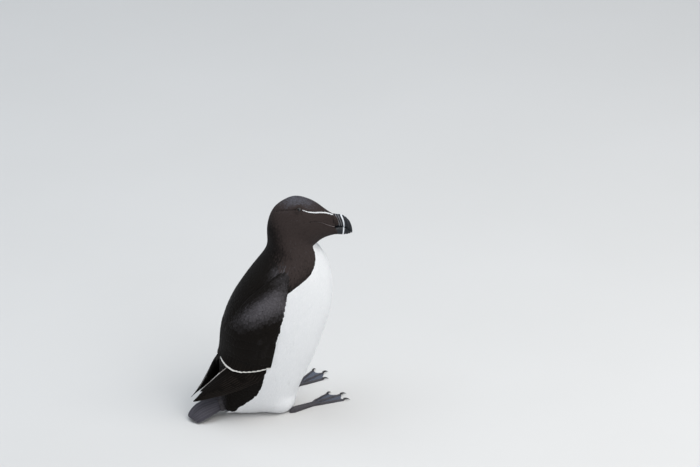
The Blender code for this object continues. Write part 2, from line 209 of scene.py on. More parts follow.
def wing_edges(u):
    """The folded arm's edges at the spine and on the flank, in degrees: both die away from
    the shoulder toward even lines, exponentially."""
    return 5.0 + 37.0 * np.exp(-3.2 * u), 84.5 - 8.0 * np.exp(-5.0 * np.maximum(u, 0.0))


def wing_place(u, v):
    """Section and angle of a spot on the folded arm.

    u runs from the shoulder (0) to the secondaries' tips (1), v from the spine's edge (0)
    to the edge on the flank (1).
    """
    across = np.clip(2.0 * v - 1.0, -1.3, 1.3)
    inside = np.clip(v, 0.0, 1.0)
    start = 9.7 + 0.9 * np.abs(across) ** 2.5 + 0.35 * (1.0 - v)
    end = 15.2 + 0.36 * np.sin(math.pi * inside) - 0.4 * inside**3
    spine_edge, flank_edge = wing_edges(u)
    return start + (end - start) * u, np.radians(spine_edge + (flank_edge - spine_edge) * v)


def wing_share(place, angle):
    """The wing's own u and v at a section and angle, found by going back and forth."""
    degrees = folded(angle)
    u, v = (place - 10.0) / 5.3, degrees / 84.0
    for _ in range(10):
        u = np.clip(u, -0.5, 1.6)
        spine_edge, flank_edge = wing_edges(u)
        v = np.clip((degrees - spine_edge) / (flank_edge - spine_edge), -0.5, 1.5)
        low, one = wing_place(0.0 * u, v)[0], wing_place(0.0 * u + 1.0, v)[0]
        u = 0.5 * u + 0.5 * (place - low) / (one - low)
    return u, v


def arm_swell(u, v):
    """Fullness of the folded arm: highest near the shoulder, none at its edges."""
    across = np.where(v < 0.55, ease(v / 0.55), 1.0 - np.clip((v - 0.55) / 0.45, 0.0, 1.0) ** 3)
    return across * ease(u * 3.0) * (1.0 - 0.65 * ease((u - 0.45) / 0.55))


def coat_depth(place):
    """Depth of the plumage over the skin: velvet on the face, deeper on the body."""
    return np.interp(place, (0.0, 2.0, 5.0, 8.0, 10.0, 20.0), (0.40, 0.42, 0.46, 0.52, 0.56, 0.60))


def line_on_head(spots, count=90):
    """Points along a line on the head, from (section, degrees) spots; not turned."""
    spots = np.array(spots, float)
    at = np.linspace(0.0, len(spots) - 1.0, count)
    place, degrees = spline(spots, at).T
    return loft(BODY, np.clip(place, 0.0, LAST), np.radians(degrees))


def nearest(points, line):
    """Distance from each point to a line given by its points, and how far along it lies."""
    mirrored = points * np.array([1.0, -1.0, 1.0])
    best = np.full(points.shape[:-1], 1e9)
    where = np.zeros(points.shape[:-1])
    for k, spot in enumerate(line):
        for side in (points, mirrored):
            away = np.linalg.norm(side - spot, axis=-1)
            closer = away < best
            best = np.where(closer, away, best)
            where = np.where(closer, k / max(len(line) - 1.0, 1.0), where)
    return best, where


EYE_FURROW = line_on_head(((5.45, 22.8), (5.04, 33.0), (4.60, 41.8), (4.12, 47.0),
                           (3.78, 50.0)))
GAPE_LINE = line_on_head(((2.86, 81.0), (1.80, 79.0), (1.18, 80.5), (0.54, 86.2),
                          (0.05, 91.5)))


def white_edge(place):
    """Angle in degrees, from the upper line, at which the white of the front begins."""
    sections = (3.1, 3.5, 5.0, 7.3, 9.15, 9.77, 10.19, 10.52, 10.96, 12.0, 14.5, 15.2,
                15.9, 16.6, 17.4, 18.2, 19.0, 19.8)
    degrees = (185.0, 164.0, 152.0, 137.5, 113.0, 105.0, 93.2, 82.5, 77.0, 78.0, 80.0,
               84.0, 84.8, 80.8, 77.8, 80.8, 88.5, 121.0)
    return np.interp(place, sections, degrees)


def skin(place, angle):
    """The skin: the outline, out by the folded arm and by the thigh's ball, which runs over
    into it softly, and in by the plumage and by the furrows of the head."""
    points = body(place, angle)
    normal = normals_of(points, place[:, 0], angle[0])[0]
    wing_u, wing_v = wing_share(place, angle)
    within = ease(wing_v / 0.4) * ease((1.0 - wing_v) / 0.05)
    within *= ease(wing_u / 0.25) * ease((1.02 - wing_u) / 0.1)
    rise = within * (1.2 + 3.1 * arm_swell(wing_u, wing_v))
    span = [(points[..., k] - THIGH_CENTRE[k]) / THIGH_SIZE[k] for k in (0, 2)]
    bulge = THIGH_CENTRE[1] + THIGH_SIZE[1] * (1.0 - span[0] ** 2 - span[1] ** 2)
    beyond = bulge - 1.0 - np.abs(points[..., 1])
    soft = 0.5 * (beyond + np.sqrt(beyond**2 + 36.0)) - 0.35
    rise += np.maximum(soft, 0.0) * normal[..., 1] ** 2 * ease((place - 12.5) / 2.0)
    level = loft(BODY, place, angle)
    on_head = place[:, 0] < HEAD_END
    groove = np.zeros_like(place)
    for line, depth, half in ((EYE_FURROW, 0.6, 0.9), (GAPE_LINE, 0.35, 0.7)):
        away = nearest(level[on_head], line)[0]
        groove[on_head] += depth * np.exp(-((away / half) ** 2))
    points += normal * (rise - coat_depth(place) - groove)[..., None]
    points[..., 2] = np.maximum(points[..., 2], 0.4)
    return points


def mesh_object(name, points, faces, sides, uv=None, extra=None, smooth=50.0):
    """A mesh object from arrays: points in millimetres, a run of corners and face sizes."""
    mesh = bpy.data.meshes.new(name)
    mesh.vertices.add(len(points))
    mesh.vertices.foreach_set("co", (points * MM).astype(np.float32).ravel())
    mesh.loops.add(len(faces))
    mesh.loops.foreach_set("vertex_index", faces.astype(np.int32))
    mesh.polygons.add(len(sides))
    starts = np.concatenate([[0], np.cumsum(sides)[:-1]]).astype(np.int32)
    mesh.polygons.foreach_set("loop_start", starts)
    mesh.update(calc_edges=True)
    for title, values in (uv or {}).items():
        layer = mesh.uv_layers.new(name=title, do_init=False)
        layer.data.foreach_set("uv", values[faces].astype(np.float32).ravel())
    for title, values in (extra or {}).items():
        mesh.attributes.new(title, "FLOAT", "POINT")
        mesh.attributes[title].data.foreach_set("value", values.astype(np.float32))
    mesh.shade_smooth()
    mesh.set_sharp_from_angle(angle=math.radians(smooth))
    made = bpy.data.objects.new(name, mesh)
    bpy.context.scene.collection.objects.link(made)
    return made


def settle(piece, look, slot_name, *nodes):
    """Gives a piece its material, on the one body, in place of its solids; the slot's name is not
    used.
    """
    piece.data.materials.append(look)
    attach(piece, "root")
    if nodes:
        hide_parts(*nodes)


def tube(rings, around, turned_in=False):
    """Quads between closed rings of points and one many-sided face over each end."""
    ring, step = grid(np.arange(rings - 1), np.arange(around))
    a = ring * around + step
    b = ring * around + (step + 1) % around
    quads = np.stack([a, a + around, b + around, b], axis=-1).reshape(-1, 4)
    first = np.arange(around)
    last = (rings - 1) * around + np.arange(around)[::-1]
    if turned_in:
        quads, first, last = quads[:, ::-1], first[::-1], last[::-1]
    faces = np.concatenate([quads.ravel(), first, last])
    sides = np.concatenate([np.full(len(quads), 4), [around, around]])
    return faces, sides


def add(tree, kind, at=None, **sockets):
    """A node; keywords set its properties, or its inputs by name or by order."""
    made = tree.nodes.new(kind)
    for title, value in sockets.items():
        setattr(made, title, value)
    for title, value in (at or {}).items():
        if hasattr(value, "is_output"):
            tree.links.new(value, made.inputs[title])
        else:
            made.inputs[title].default_value = value
    return made


def maths(tree, kind, *values, clamp=False):
    """The output of one Math node."""
    made = add(tree, "ShaderNodeMath", dict(enumerate(values)), operation=kind)
    made.use_clamp = clamp
    return made.outputs[0]


def ramp(tree, value, low, high):
    """0 below low and 1 above high, with a smooth step between."""
    made = add(tree, "ShaderNodeMapRange", {0: value, 1: low, 2: high},
               interpolation_type="SMOOTHSTEP")
    return made.outputs[0]


def blend(tree, share, low, high):
    """A mix of two colours."""
    made = add(tree, "ShaderNodeMix", data_type="RGBA")
    for socket, value in zip((made.inputs[0], made.inputs[6], made.inputs[7]),
                             (share, low, high)):
        if hasattr(value, "is_output"):
            tree.links.new(value, socket)
        elif socket.type == "RGBA":
            socket.default_value = (*value, 1.0)
        else:
            socket.default_value = value
    return made.outputs[2]


def noise(tree, scale, detail=2.0, stretch=None):
    """Noise on the object's own coordinates, at so many blobs to the metre."""
    place = add(tree, "ShaderNodeTexCoord").outputs["Object"]
    if stretch:
        place = add(tree, "ShaderNodeMapping", {"Vector": place, "Scale": stretch}).outputs[0]
    made = add(tree, "ShaderNodeTexNoise", {"Vector": place, "Scale": scale, "Detail": detail})
    return made.outputs["Fac"]


def attribute(tree, title):
    """A value that the mesh carries at its points."""
    return add(tree, "ShaderNodeAttribute", attribute_name=title).outputs["Fac"]


def coloured(tree, shader, colour):
    """The shader's colour comes from nodes."""
    tree.links.new(colour, shader.inputs["Base Color"])


def finish(name, roughness, specular, sheen=0.0):
    """A new material, with a cool sheen where it has any: its tree, its shader and itself."""
    made = bpy.data.materials.new(name)
    made.use_nodes = True
    shader = made.node_tree.nodes["Principled BSDF"]
    shader.inputs["Roughness"].default_value = roughness
    shader.inputs["Specular IOR Level"].default_value = specular
    shader.inputs["Sheen Weight"].default_value = sheen
    shader.inputs["Sheen Tint"].default_value = (0.75, 0.78, 0.85, 1.0)
    return made.node_tree, shader, made


def bumped(tree, shader, height, strength, distance):
    """Fine relief from a height, in metres of the given distance."""
    made = add(tree, "ShaderNodeBump", {"Height": height, "Strength": strength,
                                        "Distance": distance})
    tree.links.new(made.outputs[0], shader.inputs["Normal"])


hide = tabulate(skin, np.linspace(0.0, LAST, 401), np.linspace(-0.2, TAU + 0.2, 471))
rings, around = 260, 128
ring_u, ring_v = round_grid(np.linspace(0.02, LAST - 0.02, rings), around)
wing_u, wing_v = wing_share(ring_u, ring_v)
under_wing = (wing_u > 0.0) & (wing_u < 1.0) & (wing_v < 0.99)
is_white = 1.0 * ((folded(ring_v) > white_edge(ring_u)) & ~under_wing).ravel()
is_brown = ease((9.0 - ring_u) / 2.0).ravel()
skin_piece = mesh_object(
    "skin", read(hide, ring_u, ring_v)[0].reshape(-1, 3), *tube(rings, around),
    {"OFBake": np.stack([ring_v / TAU, ring_u / LAST], axis=-1).reshape(-1, 2)},
    {"white": is_white, "brown": is_brown})
tree, shader, skin_finish = finish("skin under the plumage", 0.8, 0.1)
down = blend(tree, attribute(tree, "brown"), (0.006, 0.0048, 0.004), (0.034, 0.025, 0.023))
down = blend(tree, maths(tree, "MULTIPLY", noise(tree, 900.0), 0.4), down, (0.004, 0.003, 0.003))
pale_down = blend(tree, noise(tree, 700.0), (0.72, 0.73, 0.74), (0.80, 0.81, 0.82))
coloured(tree, shader, blend(tree, attribute(tree, "white"), down, pale_down))
bumped(tree, shader, noise(tree, 1500.0), 0.4, 0.0004)
settle(skin_piece, skin_finish, "brown_black_feathers", "head", "neck", "trunk", "rump",
       "thigh_left", "thigh_right", "wing_left", "wing_right")


# -------------------------------------------------------------------------------- the eyes
# Dark brown eyes, nearly black, wet and round, each sunk in the side of the head behind a
# pair of thin black lids that leave an almond opening.
def side_point(points, side):
    """Points made for the left side, on the side asked for, turned with the head."""
    flip = np.array([1.0, 1.0 if side == "left" else -1.0, 1.0])
    return turned(points * flip)


EYE_CENTRE = (42.0, 10.6, 243.4)  # of the left eye, on a head that looks straight ahead
EYE_RADIUS = 3.9
EYE_SPOT = (3.73, math.radians(50.8))   # where the eye comes through the plumage
outward = loft(BODY, *map(np.array, EYE_SPOT)) * (1.0, -1.0, 1.0) - EYE_CENTRE
outward = unit(outward)
EYE_SLOPE = 0.2                         # how far the almond's long axis tips with the head
toward_bill = np.array([1.0, 0.0, -outward[0] / outward[2] * EYE_SLOPE])
toward_bill = unit(toward_bill - outward * (toward_bill @ outward))
toward_crown = np.cross(toward_bill, outward)


def about_eye(polar, way, radius):
    """Points round the left eye: polar is the angle from its axis, way goes bill to crown."""
    points = (np.cos(polar)[..., None] * outward
              + (np.sin(polar) * np.cos(way))[..., None] * toward_bill
              + (np.sin(polar) * np.sin(way))[..., None] * toward_crown)
    return (points * radius[..., None] + EYE_CENTRE).reshape(-1, 3)


def eye_ball():
    """A ball about the eye's outward axis: rings at even angles from the front pole, the
    front bulged out by a bell curve."""
    rings, around = 30, 40
    polar, way = round_grid(np.linspace(0.0, math.pi, rings + 2)[1:-1], around)
    bulge = EYE_RADIUS * (0.97 + 0.06 * np.exp(-((polar / 0.6) ** 2)))
    faces, sides = tube(rings, around)
    return about_eye(polar, way, bulge), faces, sides, polar.ravel()


def lid_ring():
    """Both lids as one closed ring round an almond opening.

    The way round is the first parameter.  The second goes from the sunken rim over the
    outer side to the lip and back under.
    """
    around, steps = 72, 12
    way, step = grid(np.linspace(0.0, TAU, around, endpoint=False), np.arange(steps))
    upper = np.clip(np.sin(way), 0.0, 1.0)
    opening = np.radians(34.0 + 18.0 * np.abs(np.cos(way)) ** 3 - 9.0 * upper)
    share = step / (steps - 1.0)
    reach = np.interp(share, (0.0, 0.45, 0.55, 1.0), (1.0, 0.0, 0.0, 0.85))
    polar = opening + (math.radians(72.0) - opening) * reach
    thick = np.interp(share, (0.0, 0.3, 0.45, 0.5, 0.55, 1.0),
                      (-0.25, 0.22, 0.26, 0.16, 0.04, -0.4))
    radius = EYE_RADIUS + thick + 0.03 * np.sin(way * 22.0) * (share < 0.45)
    first, second = grid(np.arange(around) * steps, np.arange(steps))
    a, b = (first + second).ravel(), (first + (second + 1) % steps).ravel()
    c, d = (a + steps) % (around * steps), (b + steps) % (around * steps)
    faces = np.stack([a, b, d, c], axis=-1)
    return about_eye(polar, way, radius), faces.ravel(), np.full(len(faces), 4)


def turned_over(faces, sides):
    """The same faces seen from the other side, for a mirrored piece."""
    ends = np.cumsum(sides)
    starts = ends - sides
    owner = np.repeat(np.arange(len(sides)), sides)
    inside = np.arange(len(faces)) - starts[owner]
    return faces[ends[owner] - 1 - inside]


tree, shader, eye_finish = finish("wet dark eye", 0.05, 0.42)
polar = attribute(tree, "polar")
iris = blend(tree, noise(tree, 2500.0), (0.010, 0.006, 0.004), (0.030, 0.016, 0.008))
coloured(tree, shader, blend(tree, ramp(tree, polar, 0.42, 0.50), (0.002, 0.002, 0.002), iris))
tree, shader, lid_finish = finish("black lid skin", 0.5, 0.4)
coloured(tree, shader,
         blend(tree, noise(tree, 3000.0), (0.010, 0.008, 0.008), (0.022, 0.018, 0.017)))
bumped(tree, shader, noise(tree, 4000.0), 0.4, 0.0002)
for side in ("left", "right"):
    points, faces, sides, polar = eye_ball()
    flipped = turned_over(faces, sides) if side == "left" else faces
    eye = mesh_object("eye_" + side + "_ball", side_point(points, side), flipped, sides,
                      extra={"polar": polar})
    settle(eye, eye_finish, "eye", "eye_" + side)
    points, faces, sides = lid_ring()
    flipped = turned_over(faces, sides) if side == "left" else faces
    lids = mesh_object("lids_" + side, side_point(points, side), flipped, sides)
    settle(lids, lid_finish, "eye")


# -------------------------------------------------------------------------------- the bill
# A deep black bill, flat from side to side.  Growth grooves cross both halves in arcs, one
# of them is a broad white band, and the cutting edges show as a thin pale line.
UPPER_BILL = np.array((
    (80.7, 230.4, 81.0, 216.6, 6.6, 0.0),
    (85.0, 230.0, 85.0, 216.2, 5.7, 0.0),
    (89.5, 229.0, 88.8, 215.6, 4.9, 0.0),
    (93.8, 225.8, 92.2, 214.2, 4.2, 0.0),
    (97.4, 220.8, 95.2, 211.8, 3.4, 0.0),
    (99.4, 214.4, 97.4, 208.8, 2.3, 0.0),
    (100.0, 208.0, 99.0, 206.0, 0.9, 0.0),
))
LOWER_BILL = np.array((
    (81.4, 216.1, 81.7, 206.6, 6.2, 0.0),
    (85.2, 215.7, 85.5, 205.7, 5.2, 0.0),
    (88.9, 215.0, 89.4, 205.2, 4.3, 0.0),
    (92.1, 213.5, 92.8, 205.2, 3.4, 0.0),
    (94.8, 211.2, 95.4, 205.6, 2.3, 0.0),
    (96.6, 208.3, 96.9, 206.2, 0.9, 0.0),
))
MID_BILL = 218.0                        # height of the middle of the bill


def arc_x(z, line):
    """The x at which an arc that crosses the bill passes a height: a cubic in the height,
    fitted to its (x, z) spots."""
    x, height = np.array(line).T
    return np.polyval(np.polyfit(height - MID_BILL, x, 3), z - MID_BILL)


WHITE_BAND = ((88.1, 229.9), (90.0, 224.7), (91.2, 219.9), (90.4, 215.2), (90.6, 212.8),
              (89.4, 208.4), (89.0, 205.0))
GROOVES = (  # arc, depth, half width and how pale its floor is
    (((81.6, 231.0), (84.2, 226.5), (85.6, 221.5), (85.9, 217.0), (86.2, 214.0)),
     0.25, 0.40, 1.0),
    (((84.2, 231.2), (86.6, 226.0), (88.2, 220.0), (88.1, 216.0), (88.0, 214.0)),
     0.25, 0.40, 0.7),
    (((91.0, 231.0), (92.8, 225.0), (93.8, 219.0), (93.2, 213.0), (91.8, 205.0)),
     0.35, 0.45, 0.0),
    (((94.2, 229.0), (95.4, 222.0), (96.0, 216.0), (95.2, 210.0), (94.4, 205.0)),
     0.25, 0.40, 0.12),
)


def bill_half(rows, rings, around):
    """One half of the bill: its loft, sunk along the grooves and squared a little above.

    Also gives how white each point is and how near it lies to the cutting edge.
    """
    upper = rows is UPPER_BILL
    place, angle = round_grid(np.linspace(-0.3, len(rows) - 1.0, rings), around)
    points = loft(rows, place, angle)
    middle = points.mean(axis=1, keepdims=True)
    points = middle + (points - middle) * (1.0 - 0.35 * np.clip(-place / 0.3, 0.0, 1.0))[..., None]
    normal = -normals_of(points, place[:, 0], angle[0])[0]
    x, z = points[..., 0], points[..., 2]
    sink = 0.0 * x
    rib = 0.0 * x
    for arc, depth, half, pale in GROOVES if upper else GROOVES[2:]:
        away = x - arc_x(z, arc)
        sink += depth * np.exp(-((away / half) ** 2))
        if upper:
            rib = np.maximum(rib, pale * np.exp(-((away / 0.28) ** 4)))
    band = x - arc_x(z, WHITE_BAND)
    sink += 0.22 * np.exp(-((band / 0.8) ** 4))
    sink *= 1.0 - ease((place - 0.82 * (len(rows) - 1.0)) / 1.0)
    rough = 0.03 * np.sin(x * 5.1 + z * 0.6) * (x > 91.0)
    if upper:
        sink *= z > 214.6
    edge_angle = math.pi if upper else 0.0
    edge = np.abs((angle - edge_angle + math.pi) % TAU - math.pi)
    white = 1.0 - ease((np.abs(band) - 0.55) / 0.35)
    points += normal * (rough - sink)[..., None]
    facing = np.clip(np.cos(angle - edge_angle), 0.0, 1.0) ** 0.5
    toward = -0.45 if upper else 0.65
    points[..., 2] += toward * facing * (1.0 - 0.7 * ease((x - 97.0) / 2.0))
    if not upper:
        points[..., 0] += 1.0 * ease((x - 90.0) / 6.0)
        points[..., 2] += 0.5 * facing * ease((x - 90.0) / 4.0)
    faces, sides = tube(rings, around, turned_in=True)
    return turned(points).reshape(-1, 3), faces, sides, white.ravel(), rib.ravel(), edge.ravel()


tree, shader, horn_finish = finish("bill horn", 0.32, 0.28)
horn = blend(tree, noise(tree, 500.0, 3.0), (0.005, 0.006, 0.008), (0.013, 0.017, 0.022))
horn = blend(tree, attribute(tree, "rib"), horn, (0.24, 0.23, 0.24))
pale_edge = maths(tree, "MULTIPLY", attribute(tree, "edge"), 0.6)
horn = blend(tree, pale_edge, horn, (0.34, 0.30, 0.30))
streaks = noise(tree, 800.0, 3.0)
white_horn = blend(tree, streaks, (0.55, 0.58, 0.62), (0.80, 0.82, 0.84))
coloured(tree, shader, blend(tree, attribute(tree, "white"), horn, white_horn))
tree.links.new(ramp(tree, streaks, -0.4, 1.6), shader.inputs["Roughness"])
bumped(tree, shader, noise(tree, 1600.0, 3.0, (1.0, 1.0, 0.35)), 0.25, 0.0002)
rings, around = 190, 96
for name, rows, node in (("bill_horn_upper", UPPER_BILL, "bill_upper"),
                         ("bill_horn_lower", LOWER_BILL, "bill_lower")):
    points, faces, sides, white, rib, edge = bill_half(rows, rings, around)
    x = np.repeat(np.linspace(0.0, 1.0, rings), around)
    near_edge = np.exp(-((edge / 0.16) ** 2)) * ease((0.45 - x) / 0.15)
    half = mesh_object(name, points, faces, sides,
                       extra={"white": white, "rib": rib, "edge": near_edge}, smooth=60.0)
    settle(half, horn_finish, "bill_horn", node)


# ------------------------------------------------------------------- velvet of head and neck
# The head and upper neck wear a short brown-black velvet: thousands of tiny feathers that
# lie back from the bill, each a closed sliver with a low ridge.
random = np.random.default_rng(41)      # seeded, so that the feathers lie the same each time
GOLDEN_STEPS = (0.7548776662466927, 0.5698402909980532)
ROUND_VANE = {"across": (-1.0, -0.45, 0.0, 0.45, 1.0), "crown": (0.0, 0.75, 1.0, 0.75, 0.0)}


def lattice(count):
    """Even spots in the unit square: steps of the golden ratio's kin, wrapped round."""
    k = np.arange(count)
    return [(0.5 + k * step) % 1.0 for step in GOLDEN_STEPS]


def scatter(sheet, density, keep=None):
    """Roots spread evenly over a sheet, as many to the square millimetre as density says.

    A lattice in the unit square is bent through the running sums of area times density,
    so that each root has the same share, and is then shaken a little.
    """
    u, v = sheet["u"], sheet["v"]
    cells = sheet["cells"]
    weight = cells[..., 6] * cells[..., 7] * density(*grid(u, v))
    weight *= (u[1] - u[0]) * (v[1] - v[0])
    rows = weight.sum(axis=1)
    count = int(rows.sum())
    x, y = lattice(count)
    share = np.cumsum(rows) / rows.sum()
    at_u = np.interp(x, share, u)
    row = np.clip(np.round((at_u - u[0]) / (u[1] - u[0])).astype(int), 0, len(u) - 1)
    inner = np.cumsum(weight + 1e-12, axis=1)
    inner /= inner[:, -1:]
    climb = (inner + np.arange(len(u))[:, None]).ravel()
    at_v = np.interp(row + y, climb, np.tile(v, len(u)))
    _, _, span_u, span_v = read(sheet, at_u, at_v)
    gap = 0.22 / np.sqrt(np.maximum(density(at_u, at_v), 1e-6))
    at_u = at_u + random.normal(size=count) * gap / np.maximum(span_u, 1e-3)
    at_v = at_v + random.normal(size=count) * gap / np.maximum(span_v, 1e-3)
    chosen = np.ones(count, bool) if keep is None else keep(at_u, at_v)
    chosen &= (at_u > u[0]) & (at_u < u[-1]) & (at_v > v[0]) & (at_v < v[-1])
    return at_u[chosen], at_v[chosen]


def laid(sheet, u, v, length, width, lift, heading, shares, widths, rises):
    """Paths of feathers on a sheet: along the lie from each root, turned by its heading.

    Gives u, v, height and half width at each share of the length.
    """
    _, _, span_u, span_v = read(sheet, u, v)
    t = np.array(shares)[None, :]
    ahead = length[:, None] * t
    aside = ahead * np.tan(heading)[:, None]
    path_u = u[:, None] + ahead / np.maximum(span_u, 1e-3)[:, None]
    path_v = v[:, None] + aside / np.maximum(span_v, 1e-3)[:, None]
    height = lift[:, None] * np.array(rises)[None, :]
    half = 0.5 * width[:, None] * np.array(widths)[None, :]
    return path_u, path_v, height, half


def vanes(sheet, u, v, height, half, thick, across=(-1.0, 0.0, 1.0), crown=(0.0, 1.0, 0.0),
          roll=0.0, flip=False, slant=None):
    """Closed vanes along paths on a sheet.

    At each station the middle line stands at its height over the sheet; the ring of points
    goes across it by shares of the half width, raised by the crown times the thickness.
    The underside is the chord from edge to edge.  The last station is the point.  A roll
    lifts one edge and lowers the other.  A slant draws one half of each station forward and
    the other back, so that the end is cut on a slope.
    """
    centre, normal, _, _ = read(sheet, u, v)
    centre = centre + normal * height[..., None]
    ahead = unit(np.gradient(centre, axis=1))
    aside = unit(np.cross(normal, ahead))
    over = np.cross(ahead, aside)
    q = np.array(across)
    c = np.array(crown)
    count, stations = u.shape
    ring = len(q)
    out = half[:, :-1, None, None] * q[None, None, :, None] * aside[:, :-1, None, :]
    rise = thick[:, None, None, None] * (c - 0.5 * c.max())[None, None, :, None]
    rise = rise + roll * q[None, None, :, None] * (half[:, :-1, None, None] > 0.3)
    points = centre[:, :-1, None, :] + out + rise * over[:, :-1, None, :]
    if slant is not None:
        late = np.linspace(0.0, 1.0, stations)[None, :-1] * slant[:, None] * half[:, :-1]
        points = points + (late[..., None] * q)[..., None] * ahead[:, :-1, None, :]
    points = np.concatenate([points.reshape(count, -1, 3), centre[:, -1:, :]], axis=1)
    points[..., 2] = np.maximum(points[..., 2], 0.05)
    if flip:
        points = points * np.array([1.0, -1.0, 1.0])
    rings = stations - 1
    j, i = grid(np.arange(rings - 1), np.arange(ring))
    a, b = j * ring + i, j * ring + (i + 1) % ring
    quads = np.stack([a, a + ring, b + ring, b], axis=-1).reshape(-1)
    last = (rings - 1) * ring + np.arange(ring)
    tip = np.full(ring, rings * ring)
    tips = np.stack([last, tip, np.roll(last, -1)], axis=-1).reshape(-1)
    one = np.concatenate([quads, tips, np.arange(ring)])
    sides = np.concatenate([np.full((rings - 1) * ring, 4), np.full(ring, 3), [ring]])
    if flip:
        one = turned_over(one, sides)
    each = rings * ring + 1
    faces = (one[None, :] + each * np.arange(count)[:, None]).ravel()
    t = np.concatenate([np.repeat(np.arange(rings) / rings, ring), [1.0]])
    x = np.concatenate([np.tile(q, rings), [0.0]])
    mid = np.concatenate([np.tile(c / c.max(), rings), [0.0]])
    return points.reshape(-1, 3), faces, np.tile(sides, count), (t, x, mid, each, count)


def patch(u, v, shape, size=0.003):
    """The map for baking: a patch for each feather at its root's place on the skin's own
    unwrap, stretched to fill the square."""
    t, x, mid, _, _ = shape
    place = []
    for at in (v, u):
        low, high = at.min(), at.max()
        place.append(0.01 + 0.98 * (at - low) / max(high - low, 1e-9))
    own = np.stack([0.5 * x, t - 0.5 + 0.08 * mid], axis=-1) * size
    spots = np.stack(place, axis=-1)[:, None, :] + own[None, :, :]
    return np.clip(spots, 0.0, 1.0).reshape(-1, 2)


def plumage(name, sheet, paths, roots, thick, tone, slot_name, look, **shape):
    """One piece of plumage: vanes with their maps, their tone and their material."""
    points, faces, sides, own = vanes(sheet, *paths, thick, **shape)
    t, x, _, each, count = own
    vane = np.stack([0.5 + 0.5 * x, t], axis=-1)
    made = mesh_object(name, points, faces, sides,
                       {"OFBake": patch(*roots, own), "vane": np.tile(vane, (count, 1))},
                       {"tone": np.repeat(tone, each)})
    settle(made, look, slot_name)


def over_vane(tree):
    """The place across a vane, from -1 to 1, the distance from its middle, and the place
    along it, from its own map."""
    split = add(tree, "ShaderNodeSeparateXYZ",
                {0: add(tree, "ShaderNodeUVMap", uv_map="vane").outputs[0]})
    signed = maths(tree, "MULTIPLY_ADD", split.outputs[0], 2.0, -1.0)
    return signed, maths(tree, "ABSOLUTE", signed), split.outputs[1]


def barbed(tree, shader, across, along, lean, count, strength, depth):
    """Relief of barbs: so many waves along the vane, drawn back toward its edges."""
    slant = maths(tree, "MULTIPLY_ADD", across, lean, along)
    wave = maths(tree, "SINE", maths(tree, "MULTIPLY", slant, count))
    bumped(tree, shader, wave, strength, depth)


def feather_finish(name, deep, mid, light, fringe, fringed, roughness, sheen, specular=0.35,
                   barbs=0.0, strength=0.25, mottle=0.5, glow=0.0):
    """Feather: its tone picks a colour, its end and edges wear a fringe, barbs are relief.

    White vanes glow a little, since light passes from one to the next below it.
    """
    tree, shader, made = finish(name, roughness, specular, sheen)
    shader.inputs["Subsurface Weight"].default_value = glow
    shader.inputs["Subsurface Radius"].default_value = (1.0, 1.0, 1.0)
    shader.inputs["Subsurface Scale"].default_value = 0.0008
    tone = attribute(tree, "tone")
    grain = noise(tree, 420.0, 3.0)
    tone = maths(tree, "ADD", tone, maths(tree, "MULTIPLY_ADD", grain, mottle, -0.5 * mottle),
                 clamp=True)
    colour = blend(tree, ramp(tree, tone, 0.0, 0.5), deep, mid)
    # From the middle tone up the colour goes toward the light one; on the velvet and the black
    # feathers that light colour is mostly a painted sheen.
    colour = blend(tree, ramp(tree, tone, 0.5, 1.0), colour, light)
    _, across, along = over_vane(tree)
    end, side = ramp(tree, along, 0.72, 1.0), ramp(tree, across, 0.55, 1.0)
    rim = maths(tree, "MULTIPLY", maths(tree, "MAXIMUM", end, side), fringed)
    coloured(tree, shader, blend(tree, rim, colour, fringe))
    if barbs:
        barbed(tree, shader, across, along, -0.35, barbs, strength, 0.00012)
    else:
        bumped(tree, shader, noise(tree, 2600.0, 2.0), strength, 0.0002)
    return made


DARK_SECTIONS = (0.0, 1.0, 3.0, 6.0, 8.0, 10.0, 12.0, 16.0, 18.5, 20.0)


def dark_length(place):
    """Length of the dark feathers in millimetres, tiny on the face, longest on the back."""
    return np.interp(place, DARK_SECTIONS, (1.5, 1.8, 2.3, 3.0, 4.2, 6.2, 8.0, 8.6, 7.6, 3.6))


def dark_width(place):
    """Width of the dark feathers in millimetres."""
    return np.interp(place, DARK_SECTIONS, (0.42, 0.5, 0.66, 0.9, 1.5, 2.8, 3.8, 4.0, 3.4, 2.4))


def one_turn(v):
    """Whether an angle lies in the one turn that is feathered, so that none lies twice."""
    return (v >= 0.0) & (v < TAU)


LORE_LINE = line_on_head(((3.60, 49.6), (3.09, 53.0), (2.60, 54.6), (1.84, 48.5),
                          (1.04, 30.5), (0.47, 19.0), (0.0, 13.0)))
LORE_END = 4.0                          # the white line ends short of this section


def of_lore(u, v):
    """Whether a spot on the head is on the white line from the eye to the bill."""
    away, along = nearest(loft(BODY, np.clip(u, 0.0, LAST), v), LORE_LINE)
    half = np.interp(along, (0.0, 0.2, 0.5, 0.9, 1.0), (0.22, 0.36, 0.72, 0.85, 0.6))
    return away < half


EYE_CLEAR, ALMOND = 2.6, 1.25           # bare round the eye: its half height, and how much longer


def clear_of_eye(u, v, length):
    """Whether neither the root nor the tip of a feather comes over the eye's opening."""
    spot, _, span_u, _ = read(hide, u, v)
    tip = read(hide, u + length / np.maximum(span_u, 1e-3), v)[0]
    clear = np.ones(len(u), bool)
    for side in ("left", "right"):
        places = side_point(np.array([EYE_CENTRE, outward + EYE_CENTRE, toward_bill + EYE_CENTRE,
                                      toward_crown + EYE_CENTRE]), side)
        axis, fore, upper = places[1:] - places[0]
        for point in (spot, 0.5 * (spot + tip), tip):
            away = point - places[0]
            near = np.hypot(away @ fore / ALMOND, away @ upper) < EYE_CLEAR
            clear &= ~(near & (away @ axis > 0.0))
    return clear


def neck_end(v):
    """Section at which the brown neck gives way to black: lower at the sides and front."""
    return 8.1 + 2.4 * ease((folded(v) - 35.0) / 55.0)


